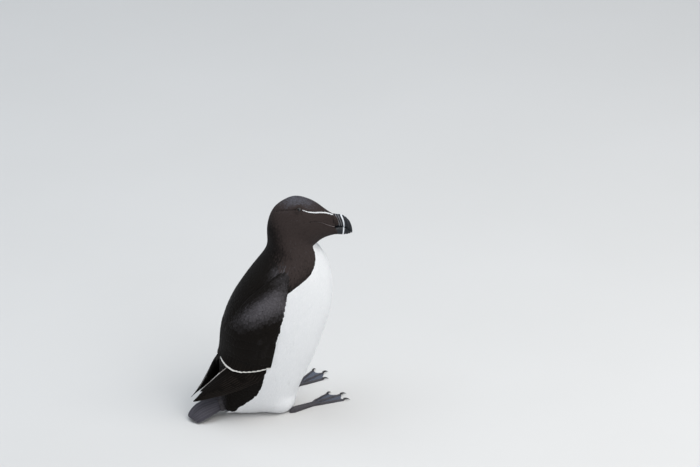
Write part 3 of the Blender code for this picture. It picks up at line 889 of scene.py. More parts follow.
def edge_heading(u, v):
    """Heading of the feathers by the edge of the white: turned to run along it, less and
    less with the distance from it."""
    _, _, span_u, span_v = read(hide, u, v)
    slope = np.radians(white_edge(u + 0.2) - white_edge(u - 0.2)) / 0.4
    turn = np.clip(np.arctan(slope * span_v / np.maximum(span_u, 1e-3)), -0.75, 0.75)
    near = np.exp(-(((folded(v) - white_edge(u)) / 9.0) ** 2))
    return np.where(v % TAU < math.pi, 1.0, -1.0) * near * turn


def tip_in(u, v, length, heading, dark):
    """Whether a feather's middle and tip fall on its own side of the dark and white edge."""
    _, _, span_u, span_v = read(hide, u, v)
    inside = np.ones(len(u), bool)
    for share in (0.5, 1.0):
        ahead = u + share * length / np.maximum(span_u, 1e-3)
        aside = v + share * length * np.tan(heading) / np.maximum(span_v, 1e-3)
        past = folded(aside) - white_edge(ahead)
        inside &= (past < 0.0) if dark else (past > 0.0)
    return inside


def velvet_density(u, v):
    """Feathers to the square millimetre: three layers everywhere."""
    inside = (u < neck_end(v) + 1.2) & (folded(v) < white_edge(u)) & one_turn(v)
    return inside * 4.3 / (dark_length(u) * dark_width(u))


def furrow_dip(u, v):
    """How far the coat is pressed down along the furrow behind the eye and the gape."""
    dip = np.zeros(len(u))
    head = u < HEAD_END
    level = loft(BODY, u[head], v[head])
    for line, width in ((EYE_FURROW, 0.75), (GAPE_LINE, 0.55)):
        away = nearest(level, line)[0]
        dip[head] = np.maximum(dip[head], np.exp(-((away / width) ** 2)))
    return dip


def painted_neck_sheen(u, v):
    """Share of the painted sheen on the sides of the lower neck and upper back."""
    return np.exp(-(((u - 9.45) / 1.15) ** 2) - ((folded(v) - 62.0) / 29.0) ** 2)


# The velvet's light colour, a bluish grey, is a painted sheen of the sky, used on the crown and on
# the lower neck.
velvet = feather_finish("brown-black velvet", (0.0045, 0.0032, 0.0026), (0.036, 0.0265, 0.0245),
                        (0.102, 0.106, 0.128), (0.050, 0.040, 0.038), 0.2, 0.6, 0.04, 0.08,
                        mottle=0.3)
u, v = scatter(hide, velvet_density)
white_here = np.zeros(len(u), bool)
on_lore = u < LORE_END
white_here[on_lore] = of_lore(u[on_lore], v[on_lore])
heading = random.normal(0.0, 0.10, len(u)) + edge_heading(u, v)
chosen = clear_of_eye(u, v, dark_length(u)) & ~white_here
chosen &= tip_in(u, v, dark_length(u), heading, True)
chosen &= u < neck_end(v) + random.uniform(-0.2, 1.2, len(u))
u, v, heading = u[chosen], v[chosen], heading[chosen]
dip = furrow_dip(u, v)
length = dark_length(u) * random.uniform(0.85, 1.15, len(u))
width = dark_width(u) * random.uniform(0.85, 1.15, len(u))
lift = coat_depth(u) * random.uniform(0.9, 1.1, len(u)) * (1.0 - 0.75 * dip)
degrees = folded(v)
# The crown is painted lighter, toward the velvet's light colour: a painted sheen of the sky on the
# top of the head.
crown = ease((62.0 - degrees) / 40.0) * ease((u - 1.0) / 2.0) * ease((5.9 - u) / 2.2)
# The back of the head is painted darker: painted shade where it faces away from the light.
nape = ease((80.0 - degrees) / 50.0) * ease((u - 5.6) / 1.4)
blackens = ease((u - neck_end(v) + 3.0) / 3.0)
# Round the sunken eye the velvet is painted darker: painted shade in the eye's hollow.
from_eye = nearest(loft(BODY, np.clip(u, 0.0, LAST), v),
                   loft(BODY, *map(np.array, EYE_SPOT))[None])[0]
# The tone is lowered along the furrow behind the eye and along the gape: painted shade in these
# creases.
tone = 0.46 + 0.30 * crown - 0.4 * dip - 0.40 * np.maximum(nape, blackens)
# A painted sheen on the sides of the lower neck.
tone += 0.45 * painted_neck_sheen(u, v)
tone -= 0.36 * np.exp(-((from_eye / 4.6) ** 2))
tone = np.clip(tone + random.normal(0.0, 0.05, len(u)), 0.0, 1.0)
shares, widths, rises = (0.0, 0.5, 1.0), (0.6, 1.0, 0.0), (0.25, 0.78, 1.0)
for piece, band in (("velvet_face", u < 3.2), ("velvet_crown", (u >= 3.2) & (u < 5.4)),
                    ("velvet_nape", u >= 5.4)):
    paths = laid(hide, u[band], v[band], length[band], width[band], lift[band], heading[band],
                 shares, widths, rises)
    plumage(piece, hide, paths, (u[band], v[band]), 0.14 * width[band], tone[band],
            "brown_black_feathers", velvet)

# The white line from the eye to the bill is the same velvet in white, in a band 1 to 2 mm wide.
white_velvet = feather_finish("white velvet", (0.70, 0.71, 0.72), (0.82, 0.83, 0.84),
                              (0.90, 0.91, 0.92), (0.92, 0.93, 0.94), 0.3, 0.6, 0.1)


def lore_density(u, v):
    """Feathers to the square millimetre on the white line, closer than elsewhere."""
    return ((u < LORE_END) & one_turn(v)) * 9.0


u, v = scatter(hide, lore_density)
chosen = of_lore(u, v) & clear_of_eye(u, v, np.full(len(u), 1.2))
u, v = u[chosen], v[chosen]
paths = laid(hide, u, v, random.uniform(1.2, 1.6, len(u)), random.uniform(0.30, 0.38, len(u)),
             coat_depth(u) * random.uniform(1.02, 1.15, len(u)),
             random.normal(0.0, 0.05, len(u)), shares, widths, rises)
plumage("velvet_lore_line", hide, paths, (u, v), np.full(len(u), 0.1),
        random.uniform(0.3, 1.0, len(u)), "white_feathers", white_velvet)


# ------------------------------------------------------------------------ the bill's velvet
# The velvet runs forward over the sides of the upper bill in a rounded lobe that hides the
# nostril, and a little way along the lower half.
def bill_side(rows):
    """A half of the bill as a sheet; u counts sections and v is the angle."""
    return tabulate(lambda u, v: turned(loft(rows, u, -v)), np.linspace(-0.3, 2.4, 109),
                    np.linspace(-0.2, TAU + 0.2, 181))


BILL_ROOT = 80.9                        # x at which the horn comes out of the face
for name, rows, reach in (("velvet_bill_upper", UPPER_BILL, 4.4),
                          ("velvet_bill_lower", LOWER_BILL, 2.2)):
    horn_side = bill_side(rows)

    def lobe(u, v, rows=rows, reach=reach):
        """Inside the lobe: shorter in reach away from its middle height."""
        point = loft(rows, np.clip(u, -0.3, 5.0), -v)
        middle, half = (222.0, 8.0) if rows is UPPER_BILL else (211.0, 4.6)
        share = np.clip(np.abs(point[..., 2] - middle) / half, 0.0, 1.0)
        return point[..., 0] < BILL_ROOT + reach * np.sqrt(1.0 - share**2)

    u, v = scatter(horn_side, lambda u, v: one_turn(v) * 6.5, lobe)
    count = len(u)
    paths = laid(horn_side, u, v, -random.uniform(1.4, 1.9, count),
                 random.uniform(0.42, 0.55, count), random.uniform(0.28, 0.38, count),
                 random.normal(0.0, 0.12, count), shares, widths, (0.25, 0.8, 1.0))
    tone = np.clip(random.normal(0.36, 0.08, count), 0.0, 1.0)
    plumage(name, horn_side, paths, (u, v), np.full(count, 0.1), tone,
            "brown_black_feathers", velvet)


# ------------------------------------------------------------------------------- the gape
# A thin pale fold of skin edges the mouth, from the bill back over the cheek, where it fades.
def ribbon(line, half, tall, side):
    """A slim bead carried along a line on the head's coat, half round above, thinning back."""
    count, ring = len(line), 8
    ahead = unit(np.gradient(line, axis=0))
    up = unit(np.cross(ahead, np.array([0.15, -1.0, 0.0])))
    out = np.cross(up, ahead)
    t = np.linspace(0.0, 1.0, count)
    thin = np.interp(t, (0.0, 0.3, 1.0), (0.25, 0.7, 1.0))
    way = np.linspace(0.0, TAU, ring, endpoint=False)
    points = (line[:, None, :] - out[:, None, :] * 0.15
              + up[:, None, :] * (np.cos(way)[None, :, None] * half * thin[:, None, None])
              + out[:, None, :] * (np.sin(way)[None, :, None] * tall * thin[:, None, None]))
    faces, sides = tube(count, ring)
    flip = np.array([1.0, -1.0 if side == "left" else 1.0, 1.0])
    if side == "left":
        faces = turned_over(faces, sides)
    return turned(points * flip).reshape(-1, 3), faces, sides, np.repeat(t, ring)


tree, shader, gape_finish = finish("gape skin", 0.5, 0.4)
fade = ramp(tree, attribute(tree, "along"), 0.0, 0.9)
pale = blend(tree, noise(tree, 1200.0), (0.16, 0.13, 0.13), (0.26, 0.22, 0.22))
coloured(tree, shader, blend(tree, fade, (0.05, 0.038, 0.036), pale))
bumped(tree, shader, noise(tree, 3000.0), 0.3, 0.0002)
for side in ("left", "right"):
    points, faces, sides, along = ribbon(GAPE_LINE, 0.26, 0.3, side)
    gape = mesh_object("gape_" + side, points, faces, sides, extra={"along": along})
    settle(gape, gape_finish, "brown_black_feathers")


# ----------------------------------------------------------------- dark feathers of the body
# Black contour feathers cover the lower neck, the back between the wings, the scapulars
# that lap over the wings' upper edges, and the rump.  They overlap like slates.
def back_density(u, v):
    """Three layers over the dark parts that the wings leave open."""
    wing_u, wing_v = wing_share(u, v)
    under_wing = (wing_u > 0.12) & (wing_u < 0.97) & (wing_v > 0.28) & (wing_v < 0.97)
    inside = (u > neck_end(v) - 0.6) & (folded(v) < white_edge(u) + 1.0) & ~under_wing
    inside &= one_turn(v)
    return inside * 4.2 / (dark_length(u) * dark_width(u))


def toward_tail(sheet, paths):
    """How far feathers have turned from black to slate: a ramp along x by the tail's root."""
    x, _, z = np.moveaxis(read(sheet, paths[0][:, -1], paths[1][:, -1])[0], -1, 0)
    return ease((-53.0 - x) / 16.0) * ease((34.0 - z) / 10.0)


# The light colour of the black feathers is a painted sheen on the shoulders, wings and upper back;
# it also gives the slate by the tail's root.
black = feather_finish("black feathers", (0.0030, 0.0023, 0.0017), (0.0062, 0.0048, 0.0038),
                       (0.100, 0.093, 0.101), (0.024, 0.019, 0.016), 0.16, 0.5, 0.02, 0.05,
                       barbs=120.0, mottle=0.10)
u, v = scatter(hide, back_density)
heading = random.normal(0.0, 0.07, len(u)) + edge_heading(u, v)
chosen = tip_in(u, v, dark_length(u), heading, True)
chosen &= u > neck_end(v) + random.uniform(-0.4, 1.0, len(u))
u, v, heading = u[chosen], v[chosen], heading[chosen]
count = len(u)
length = dark_length(u) * random.uniform(0.85, 1.15, count)
width = dark_width(u) * random.uniform(0.9, 1.1, count)
wing_u, wing_v = wing_share(u, v)
over_arm = ease((wing_v + 0.1) / 0.25) * ease(wing_u / 0.2) * (wing_u < 1.0) * (wing_v < 0.6)
lift = coat_depth(u) * random.uniform(0.95, 1.08, count) + 0.5 * over_arm
# The upper back carries the same painted sheen as the sides of the neck.
tone = np.clip(random.normal(0.38, 0.025, count) + 0.38 * painted_neck_sheen(u, v), 0.0, 1.0)
vane_shares = (0.0, 0.3, 0.6, 0.82, 0.95, 1.0)
vane_widths = (0.4, 0.85, 1.0, 0.9, 0.5, 0.0)
vane_rises = (0.2, 0.56, 0.78, 0.9, 0.97, 0.98)
paths = laid(hide, u, v, length, width, lift, heading, vane_shares, vane_widths, vane_rises)
tone = tone + 0.40 * toward_tail(hide, paths)
plumage("feathers_back", hide, paths, (u, v), 0.10 * width, tone, "black_feathers", black,
        **ROUND_VANE)


# --------------------------------------------------------------- white feathers of the front
# The white of breast, belly and flanks is silky: narrow soft feathers, close together, that
# run down the body and stand out a little only round the thighs and under the tail.
def white_length(place):
    """Length of the white feathers in millimetres."""
    return np.interp(place, (3, 7, 10, 13, 18, 20), (2.6, 3.8, 5.8, 7.2, 7.6, 5.0))


def white_width(place):
    """Width of the white feathers in millimetres."""
    return np.interp(place, (3, 7, 10, 13, 17, 20), (0.6, 0.85, 1.25, 1.5, 1.6, 1.8))


def white_density(u, v):
    """Three layers over the white parts, and a little way under the dark edge."""
    wing_u, wing_v = wing_share(u, v)
    under_wing = (wing_u > 0.03) & (wing_u < 1.0) & (wing_v < 1.0)
    inside = (folded(v) > white_edge(u)) & ~under_wing & (u > 2.9) & one_turn(v)
    return inside * 5.4 / (white_length(u) * white_width(u))


silk = feather_finish("white silky feathers", (0.81, 0.82, 0.835), (0.86, 0.87, 0.88),
                      (0.90, 0.905, 0.915), (0.91, 0.915, 0.92), 0.3, 0.7, 0.1,
                      strength=0.1, glow=0.25)
u, v = scatter(hide, white_density)
heading = random.normal(0.0, 0.10, len(u)) + edge_heading(u, v)
chosen = tip_in(u, v, white_length(u), heading, False)
u, v, heading = u[chosen], v[chosen], heading[chosen]
count = len(u)
spot = read(hide, u, v)[0]
round_thigh = np.exp(-(((spot[:, 0] - 2.0) / 16.0) ** 2 + ((spot[:, 2] - 6.0) / 9.0) ** 2))
length = white_length(u) * random.uniform(0.8, 1.2, count) * (1.0 + 0.25 * round_thigh)
width = white_width(u) * random.uniform(0.85, 1.15, count)
lift = coat_depth(u) * random.uniform(0.92, 1.08, count) * (1.0 + 0.2 * round_thigh)
at_edge = ease((folded(v) - white_edge(u)) / 6.0)
lift *= np.where(spot[:, 2] < 3.0, 0.6, 1.0) * (0.7 + 0.3 * at_edge)
tone = np.clip(random.normal(0.6, 0.14, count), 0.0, 1.0)
for piece, band in (("feathers_breast", u < 12.0), ("feathers_belly", u >= 12.0)):
    paths = laid(hide, u[band], v[band], length[band], width[band], lift[band], heading[band],
                 (0.0, 0.35, 0.75, 1.0), (0.6, 1.0, 0.88, 0.0), (0.3, 0.66, 0.92, 1.0))
    plumage(piece, hide, paths, (u[band], v[band]), 0.14 * width[band], tone[band],
            "white_feathers", silk)


# ---------------------------------------------------------------------------- wing coverts
# The folded arm is covered in black coverts: small rounded ones over the shoulder, then
# rows of longer ones, each row lying over the roots of the next.
def arm(u, v):
    """The base that the wing feathers lie on: the cloak, out by the folded arm."""
    place, angle = wing_place(u, v)
    step = 1e-3
    along = cloak(place + step, angle) - cloak(place - step, angle)
    around = cloak(place, angle + step) - cloak(place, angle - step)
    normal = unit(np.cross(along, around))
    edges = ease((v + 0.02) / 0.4) * ease((1.01 - v) / 0.07) * ease((u + 0.1) / 0.3)
    rise = -0.8 + 1.0 * edges + 3.1 * arm_swell(u, v) * ease((1.06 - u) / 0.12)
    return cloak(place, angle) + normal * rise[..., None]


arm_sheet = tabulate(arm, np.linspace(-0.12, 1.3, 240), np.linspace(-0.12, 1.06, 160))


def covert_length(u):
    """Length of the small coverts, which grow toward the rows."""
    return np.interp(u, (-0.1, 0.2, 0.6), (4.6, 6.0, 8.6))


def covert_density(u, v):
    """Three layers of small coverts as far as the rows."""
    inside = (u > -0.06) & (u < 0.60) & (v > 0.10) & (v < 0.985)
    return inside * 4.2 / (covert_length(u) * 0.58 * covert_length(u))


def covert_row(edge, count, length, width, height):
    """One row of like coverts whose tips lie on a shallow arc across the wing: the roots'
    u and v, and the length, width and height of each."""
    v = np.linspace(0.05, 0.94, count)
    tip = edge + 0.02 * np.sin(math.pi * v) + 0.006 * random.normal(size=count)
    sizes = [np.full(count, size) for size in (length, width, height)]
    return tip - length / read(arm_sheet, tip, v)[2], v, *sizes


COVERT_ROWS = (  # u at the tips, number, length, width, height over the arm
    (0.62, 15, 13.0, 8.0, 1.75),
    (0.70, 15, 15.0, 8.4, 1.65),
    (0.79, 14, 19.0, 9.4, 1.55),
    (0.88, 13, 24.0, 10.4, 1.45),
)
for side in ("right", "left"):
    mirrored = side == "left"
    u, v = scatter(arm_sheet, covert_density)
    count = len(u)
    length = covert_length(u) * random.uniform(0.88, 1.12, count)
    width = 0.58 * length * random.uniform(0.92, 1.08, count)
    lift = 1.45 * random.uniform(0.95, 1.05, count)
    # Painted sheen: the small coverts are painted lighter in a broad diagonal band from the
    # flank's shoulder toward the spine, and along the shoulder, a sky sheen painted into the
    # colour.
    sheen_crest = 0.22 + 0.34 * (0.70 - v)
    painted_sheen = np.exp(-(((u - sheen_crest) / 0.19) ** 2) - ((v - 0.68) / 0.50) ** 2)
    painted_sheen = np.maximum(painted_sheen, 0.55 * np.exp(-((u / 0.14) ** 2)) * ease((v - 0.05) / 0.6))
    painted_sheen = np.maximum(painted_sheen, 0.22 * np.exp(-(((u - 0.70) / 0.25) ** 2) - ((v - 0.8) / 0.3) ** 2))
    tone = np.clip(random.normal(0.42, 0.025, count) + 0.47 * painted_sheen, 0.0, 1.0)
    paths = laid(arm_sheet, u, v, length, width, lift, random.normal(0.0, 0.07, count),
                 vane_shares, vane_widths, vane_rises)
    plumage("coverts_small_" + side, arm_sheet, paths, (u, v), 0.10 * width, tone,
            "black_feathers", black, flip=mirrored, **ROUND_VANE)
    lots = [covert_row(*row) for row in COVERT_ROWS]
    u, v, length, width, lift = (np.concatenate(part) for part in zip(*lots))
    # The rows are painted lighter toward the flank: the same painted sheen, carried on.
    tone = random.normal(0.36, 0.02, len(u)) + 0.18 * np.exp(-(((v - 0.80) / 0.34) ** 2))
    paths = laid(arm_sheet, u, v, length, width, lift, random.normal(0.0, 0.03, len(u)),
                 (0.0, 0.2, 0.4, 0.6, 0.75, 0.87, 0.95, 0.985, 1.0),
                 (0.4, 0.7, 0.88, 0.97, 1.0, 0.9, 0.66, 0.36, 0.0),
                 (0.0, 0.4, 0.66, 0.82, 0.9, 0.95, 0.98, 0.99, 1.0))
    plumage("coverts_rows_" + side, arm_sheet, paths, (u, v), np.full(len(u), 0.55), tone,
            "black_feathers", black, flip=mirrored, roll=0.12,
            across=(-1.0, -0.6, -0.25, 0.0, 0.25, 0.6, 1.0),
            crown=(0.0, 0.5, 0.72, 1.0, 0.72, 0.5, 0.0))


# ---------------------------------------------------------------- secondaries and tertials
# Blackish arm quills, each tipped with white, so that their ends draw one thin white bar
# across the closed wing.  The inner ones and the scapulars hide the bar near the spine.
WHITE_TIP = (0.72, 0.70, 0.66)
SECONDARIES = 15


def bar_edge(degrees):
    """Section at which the secondaries end, by the angle from the upper line."""
    return np.interp(degrees, (5.0, 17.6, 30.0, 42.4, 52.8, 60.0, 69.6, 80.6, 84.5),
                     (15.25, 15.43, 15.60, 15.68, 15.60, 15.42, 15.12, 14.78, 14.66))


def quill_paths(lines, shares, widths, rises):
    """Paths of long quills, each from its own root and end on a sheet.

    A line is (root u, root v, end u, end v, bow, width, root height, end height).
    """
    lines = np.array(lines)
    t = np.array(shares)[None, :]
    u = lines[:, 0:1] + (lines[:, 2:3] - lines[:, 0:1]) * t
    v = lines[:, 1:2] + (lines[:, 3:4] - lines[:, 1:2]) * t
    v = v + lines[:, 4:5] * np.sin(math.pi * t)
    height = lines[:, 6:7] + (lines[:, 7:8] - lines[:, 6:7]) * np.array(rises)[None, :]
    half = 0.5 * lines[:, 5:6] * np.array(widths)[None, :]
    return u, v, height, half


def quill_piece(name, sheet, lines, shares, widths, rises, thick, tone, slot_name, look,
                nodes=(), flip=False, roll=0.0, slant=None):
    """One piece of long quills; each has its own wide strip on the map for baking.

    The distance from its end and the place across are carried for the pale tips and edges.
    """
    across = (-1.0, -0.82, -0.5, -0.2, -0.06, 0.0, 0.06, 0.2, 0.5, 0.82, 1.0)
    crown = (0.0, 0.22, 0.42, 0.50, 0.56, 1.0, 0.56, 0.50, 0.42, 0.22, 0.0)
    paths = quill_paths(lines, shares, widths, rises)
    count = len(lines)
    points, faces, sides, own = vanes(sheet, *paths, np.full(count, thick), across=across,
                                      crown=crown, roll=roll, flip=flip, slant=slant)
    _, x, mid, each, _ = own
    ring = len(across)
    centre = read(sheet, paths[0], paths[1])[0]
    step = np.linalg.norm(np.diff(centre, axis=1), axis=-1)
    run = np.concatenate([np.zeros((count, 1)), np.cumsum(step, axis=1)], axis=1)
    to_end = run[:, -1:] - run
    t = np.concatenate([np.repeat(np.array(shares)[:-1], ring), [1.0]])
    left = np.concatenate([np.repeat(to_end[:, :-1], ring, axis=1), np.zeros((count, 1))],
                          axis=1)
    strip_u = (np.arange(count)[:, None] + 0.5 + 0.42 * x[None, :]) / count
    strip_v = np.tile(0.02 + 0.94 * t + 0.01 * mid, (count, 1))
    bake = np.stack([strip_u, strip_v], axis=-1).reshape(-1, 2)
    vane = np.stack([0.5 + 0.5 * x, t], axis=-1)
    made = mesh_object(name, points, faces, sides,
                       {"OFBake": bake, "vane": np.tile(vane, (count, 1))},
                       {"tone": np.repeat(tone, each), "to_end": left.ravel()}, smooth=42.0)
    settle(made, look, slot_name, *nodes)


def quill_finish(name, deep, light, roughness, tip=WHITE_TIP, tip_reach=0.0, edge=WHITE_TIP,
                 edge_share=0.0, edge_side=1.0):
    """Quill: dark vane, a pale tip of so many millimetres and a pale edge on one side."""
    tree, shader, made = finish(name, roughness, 0.05, 0.02)
    tone = attribute(tree, "tone")
    grain = noise(tree, 300.0, 3.0)
    colour = blend(tree, maths(tree, "MULTIPLY_ADD", grain, 0.5, tone, clamp=True), deep, light)
    signed, across, along = over_vane(tree)
    shaft = ramp(tree, across, 0.06, 0.02)
    colour = blend(tree, maths(tree, "MULTIPLY", shaft, 0.5), colour, (0.022, 0.018, 0.016))
    if edge_share:
        sided = maths(tree, "MULTIPLY", signed, edge_side)
        rim = ramp(tree, sided, 1.0 - edge_share, 1.0 - 0.4 * edge_share)
        colour = blend(tree, rim, colour, edge)
    if tip_reach:
        wobble = maths(tree, "MULTIPLY_ADD", noise(tree, 900.0), 0.6, tip_reach - 0.3)
        from_end = maths(tree, "SUBTRACT", wobble, attribute(tree, "to_end"))
        colour = blend(tree, ramp(tree, from_end, -0.2, 0.2), colour, tip)
    coloured(tree, shader, colour)
    barbed(tree, shader, across, along, -0.10, 380.0, 0.2, 0.0001)
    return made


cloak_sheet = tabulate(cloak, np.linspace(13.0, 20.0, 281),
                       np.linspace(-0.1, math.pi / 2 + 0.15, 161))
barred = quill_finish("secondaries with white tips", (0.0030, 0.0023, 0.0017),
                      (0.0085, 0.0065, 0.0052), 0.5, tip_reach=2.0)
plain = quill_finish("black quills", (0.0030, 0.0023, 0.0017), (0.0085, 0.0065, 0.0052), 0.5)
broad_shares = (0.0, 0.15, 0.3, 0.45, 0.6, 0.72, 0.82, 0.9, 0.95, 0.98, 0.993, 1.0)
broad_widths = (0.5, 0.8, 0.92, 0.98, 1.0, 1.0, 1.0, 0.99, 0.97, 0.9, 0.72, 0.0)
steady = np.linspace(0.0, 1.0, len(broad_shares)) ** 0.5


def bar_slope(degrees):
    """How much each quill's end is cut on a slope, so that the bar runs on without steps:
    the bar's own slope against the quill's line, less for the last one."""
    def spot(place, angle):
        """The point of the cloak at a section and an angle in degrees."""
        return read(cloak_sheet, place, np.radians(angle))[0]

    run = unit(spot(bar_edge(degrees), degrees) - spot(bar_edge(degrees) - 0.1, degrees))
    ahead, behind = degrees + 2.5, degrees - 2.5
    step = spot(bar_edge(ahead), ahead) - spot(bar_edge(behind), behind)
    forward = (step * run).sum(axis=-1)
    beside = np.sqrt(np.maximum((step * step).sum(axis=-1) - forward**2, 1e-6))
    slope = np.clip(forward / beside, -1.3, 1.3)
    slope[-1] *= 0.6
    return slope


for side in ("right", "left"):
    mirrored = side == "left"
    degrees = np.linspace(13.0, 81.5, SECONDARIES)
    swell = 1.6 * (1.0 - np.abs(np.linspace(-1.0, 1.0, SECONDARIES)) ** 3)
    ones = np.ones(SECONDARIES)
    lines = np.stack([13.15 * ones, np.radians(degrees * 0.97 + 2.0), bar_edge(degrees),
                      np.radians(degrees), 0.0 * ones, 9.0 * ones, 0.9 + swell,
                      0.9 + 0.75 * swell], axis=-1)
    tone = np.clip(random.normal(0.25, 0.1, len(lines)), 0.0, 1.0)
    quill_piece("secondaries_" + side, cloak_sheet, lines, broad_shares, broad_widths, steady,
                0.5, tone, "flight_feathers", barred, flip=mirrored, roll=0.12,
                slant=bar_slope(degrees))
    lines = [(13.05, math.radians(degrees + 5.0), end, math.radians(degrees), 0.0, 10.5,
              0.1, 1.35) for degrees, end in ((16.0, 14.55), (11.5, 14.85), (7.5, 15.1),
                                              (3.0, 15.3), (-1.5, 15.2))]
    tone = np.clip(random.normal(0.3, 0.1, len(lines)), 0.0, 1.0)
    quill_piece("tertials_" + side, cloak_sheet, lines, broad_shares, broad_widths, steady,
                0.6, tone, "flight_feathers", plain, flip=mirrored, roll=0.1)


# -------------------------------------------------------------------------------- primaries
# Ten hand quills to a wing, folded into one narrow blade that runs out over the tail: the
# outer ones longest and lowest, the inner ones short, on top, and edged with a pale line.
primary_finish = quill_finish("primaries", (0.0025, 0.0018, 0.0012), (0.0070, 0.0050, 0.0038),
                              0.42, tip=(0.05, 0.042, 0.037), tip_reach=0.35,
                              edge=(0.040, 0.031, 0.026), edge_share=0.08)
inner_finish = quill_finish("inner primary with a pale edge", (0.0030, 0.0023, 0.0017),
                            (0.0080, 0.0060, 0.0050), 0.42, tip=(0.38, 0.35, 0.32),
                            tip_reach=0.5, edge=(0.46, 0.42, 0.39), edge_share=0.20,
                            edge_side=-1.0)
blade_shares = (0.0, 0.12, 0.25, 0.38, 0.5, 0.62, 0.73, 0.82, 0.89, 0.94, 0.97, 0.99, 1.0)
blade_widths = (0.8, 0.98, 1.0, 1.0, 0.98, 0.94, 0.88, 0.78, 0.64, 0.48, 0.34, 0.2, 0.0)
level = np.linspace(0.0, 1.0, len(blade_shares))
TIP_SECTIONS = (17.9, 18.3, 18.65, 18.95, 19.2, 19.4, 19.6, 19.8, 19.97)
for side in ("right", "left"):
    mirrored = side == "left"
    outer = []
    for k, end in enumerate(TIP_SECTIONS, start=1):
        share = k / len(TIP_SECTIONS)
        reach = (end - 15.6) / 4.4
        root = 45.0 + 31.0 * share
        upper_edge = 34.0 - 26.0 * reach
        tip = upper_edge + 4.0 + 30.0 * share**2
        bow = math.radians(3.0 + 17.0 * share)
        height = 0.9 - 0.6 * share
        outer.append((14.3, math.radians(root), end, math.radians(tip), bow,
                      9.4 - 1.0 * share, height, 0.5 + 0.9 * (1.0 - share)))
    tone = np.clip(random.normal(0.3, 0.12, len(outer)), 0.0, 1.0)
    quill_piece("primaries_" + side, cloak_sheet, outer, blade_shares, blade_widths, level,
                0.45, tone, "flight_feathers", primary_finish, ("wingtip_" + side,),
                flip=mirrored, roll=-0.12)
    inner = [(14.9, math.radians(43.0), 18.8, math.radians(15.0), math.radians(1.0), 8.0,
              0.0, 2.0)]
    quill_piece("primary_inner_" + side, cloak_sheet, inner, blade_shares, blade_widths,
                level, 0.45, np.array([0.3]), "flight_feathers", inner_finish, flip=mirrored)


# ------------------------------------------------------------------------------------ tail
# Twelve dull slate-black tail quills, the middle pair longest and uppermost, lying over each
# other like a low roof, with black coverts above their roots and long white ones below.
TAIL = np.array((
    (-58.0, 22.0, 3.6, 10.0),      # x, height of the top, of the bottom, half width
    (-64.8, 22.3, 3.6, 12.5),
    (-71.0, 22.2, 4.6, 15.5),
    (-80.0, 21.2, 4.4, 18.6),
    (-90.0, 18.4, 2.4, 19.4),
    (-98.5, 12.2, 0.6, 16.5),
    (-104.0, 4.8, 0.1, 12.0),
))


def tail_roof(u, v):
    """The tail's upper face: a low roof, v from -1 to 1 across and u from root to end, that
    falls from its ridge by the 1.8th power of v."""
    x, top, bottom, half = np.moveaxis(spline(TAIL, u * (len(TAIL) - 1.0)), -1, 0)
    drop = np.maximum(top - bottom - 1.2, 0.3)
    return np.stack([x, -v * half, top - 0.35 - drop * np.abs(v) ** 1.8], axis=-1)


tail_sheet = tabulate(tail_roof, np.linspace(-0.02, 1.02, 131), np.linspace(-1.15, 1.15, 121))
lines = [(0.0, 0.55 * away, 1.0 - 0.16 * away**2, 0.80 * away, 0.0, 10.5,
          -0.5 - 1.1 * abs(away), -0.25 - 0.9 * abs(away))
         for away in sorted(((k - 5.5) / 5.5 for k in range(12)), key=lambda away: -abs(away))]
slate = quill_finish("tail quills", (0.042, 0.040, 0.048), (0.085, 0.080, 0.095), 0.5,
                     tip=(0.09, 0.082, 0.085), tip_reach=0.5, edge=(0.10, 0.095, 0.105),
                     edge_share=0.12)
tail_widths = (0.6, 0.8, 0.9, 0.97, 1.0, 1.0, 0.99, 0.95, 0.87, 0.72, 0.5, 0.0)
quill_piece("tail_quills", tail_sheet, lines, broad_shares, tail_widths,
            np.linspace(0.0, 1.0, len(broad_shares)), 0.55,
            np.clip(random.normal(0.4, 0.15, len(lines)), 0.0, 1.0), "tail_feathers", slate,
            ("tail",))


def covert_fan(low_u, high_u, low_v, high_v, count):
    """Even roots over a part of a sheet, from the lattice."""
    x, y = lattice(count)
    return low_u + (high_u - low_u) * x, low_v + (high_v - low_v) * y


u, v = covert_fan(-0.01, 0.07, -0.80, 0.80, 240)
count = len(u)
paths = laid(tail_sheet, u, v, random.uniform(7.5, 10.0, count),
             random.uniform(2.2, 3.0, count), random.uniform(0.8, 1.0, count),
             random.normal(0.0, 0.05, count), vane_shares, vane_widths,
             (0.2, 0.7, 0.8, 0.7, 0.55, 0.4))
plumage("coverts_above_tail", tail_sheet, paths, (u, v), np.full(count, 0.45),
        random.normal(0.38, 0.03, count) + 0.40 * toward_tail(tail_sheet, paths),
        "black_feathers", black, **ROUND_VANE)


def under_tail(u, v):
    """The face under the tail's root, from the vent back: v from -1 to 1 across."""
    x = -26.0 - 46.0 * u
    half = np.interp(u, (0.0, 0.5, 1.0), (20.0, 13.5, 11.5))
    low = np.interp(u, (0.0, 0.3, 0.7, 1.0), (1.6, 2.2, 3.6, 5.2))
    return np.stack([x, v * half, low + 11.0 * np.abs(v) ** 3 * (1.0 - 0.5 * u)], axis=-1)


below_sheet = tabulate(under_tail, np.linspace(-0.02, 1.3, 100), np.linspace(-1.1, 1.1, 90))
u, v = covert_fan(0.0, 0.50, -0.9, 0.9, 900)
count = len(u)
paths = laid(below_sheet, u, v, random.uniform(9.0, 13.0, count),
             random.uniform(1.8, 2.4, count), random.uniform(0.8, 1.1, count),
             random.normal(0.0, 0.08, count), vane_shares, vane_widths, vane_rises)
plumage("coverts_below_tail", below_sheet, paths, (u, v), np.full(count, 0.3),
        np.clip(random.normal(0.55, 0.12, count), 0.0, 1.0), "white_feathers", silk)


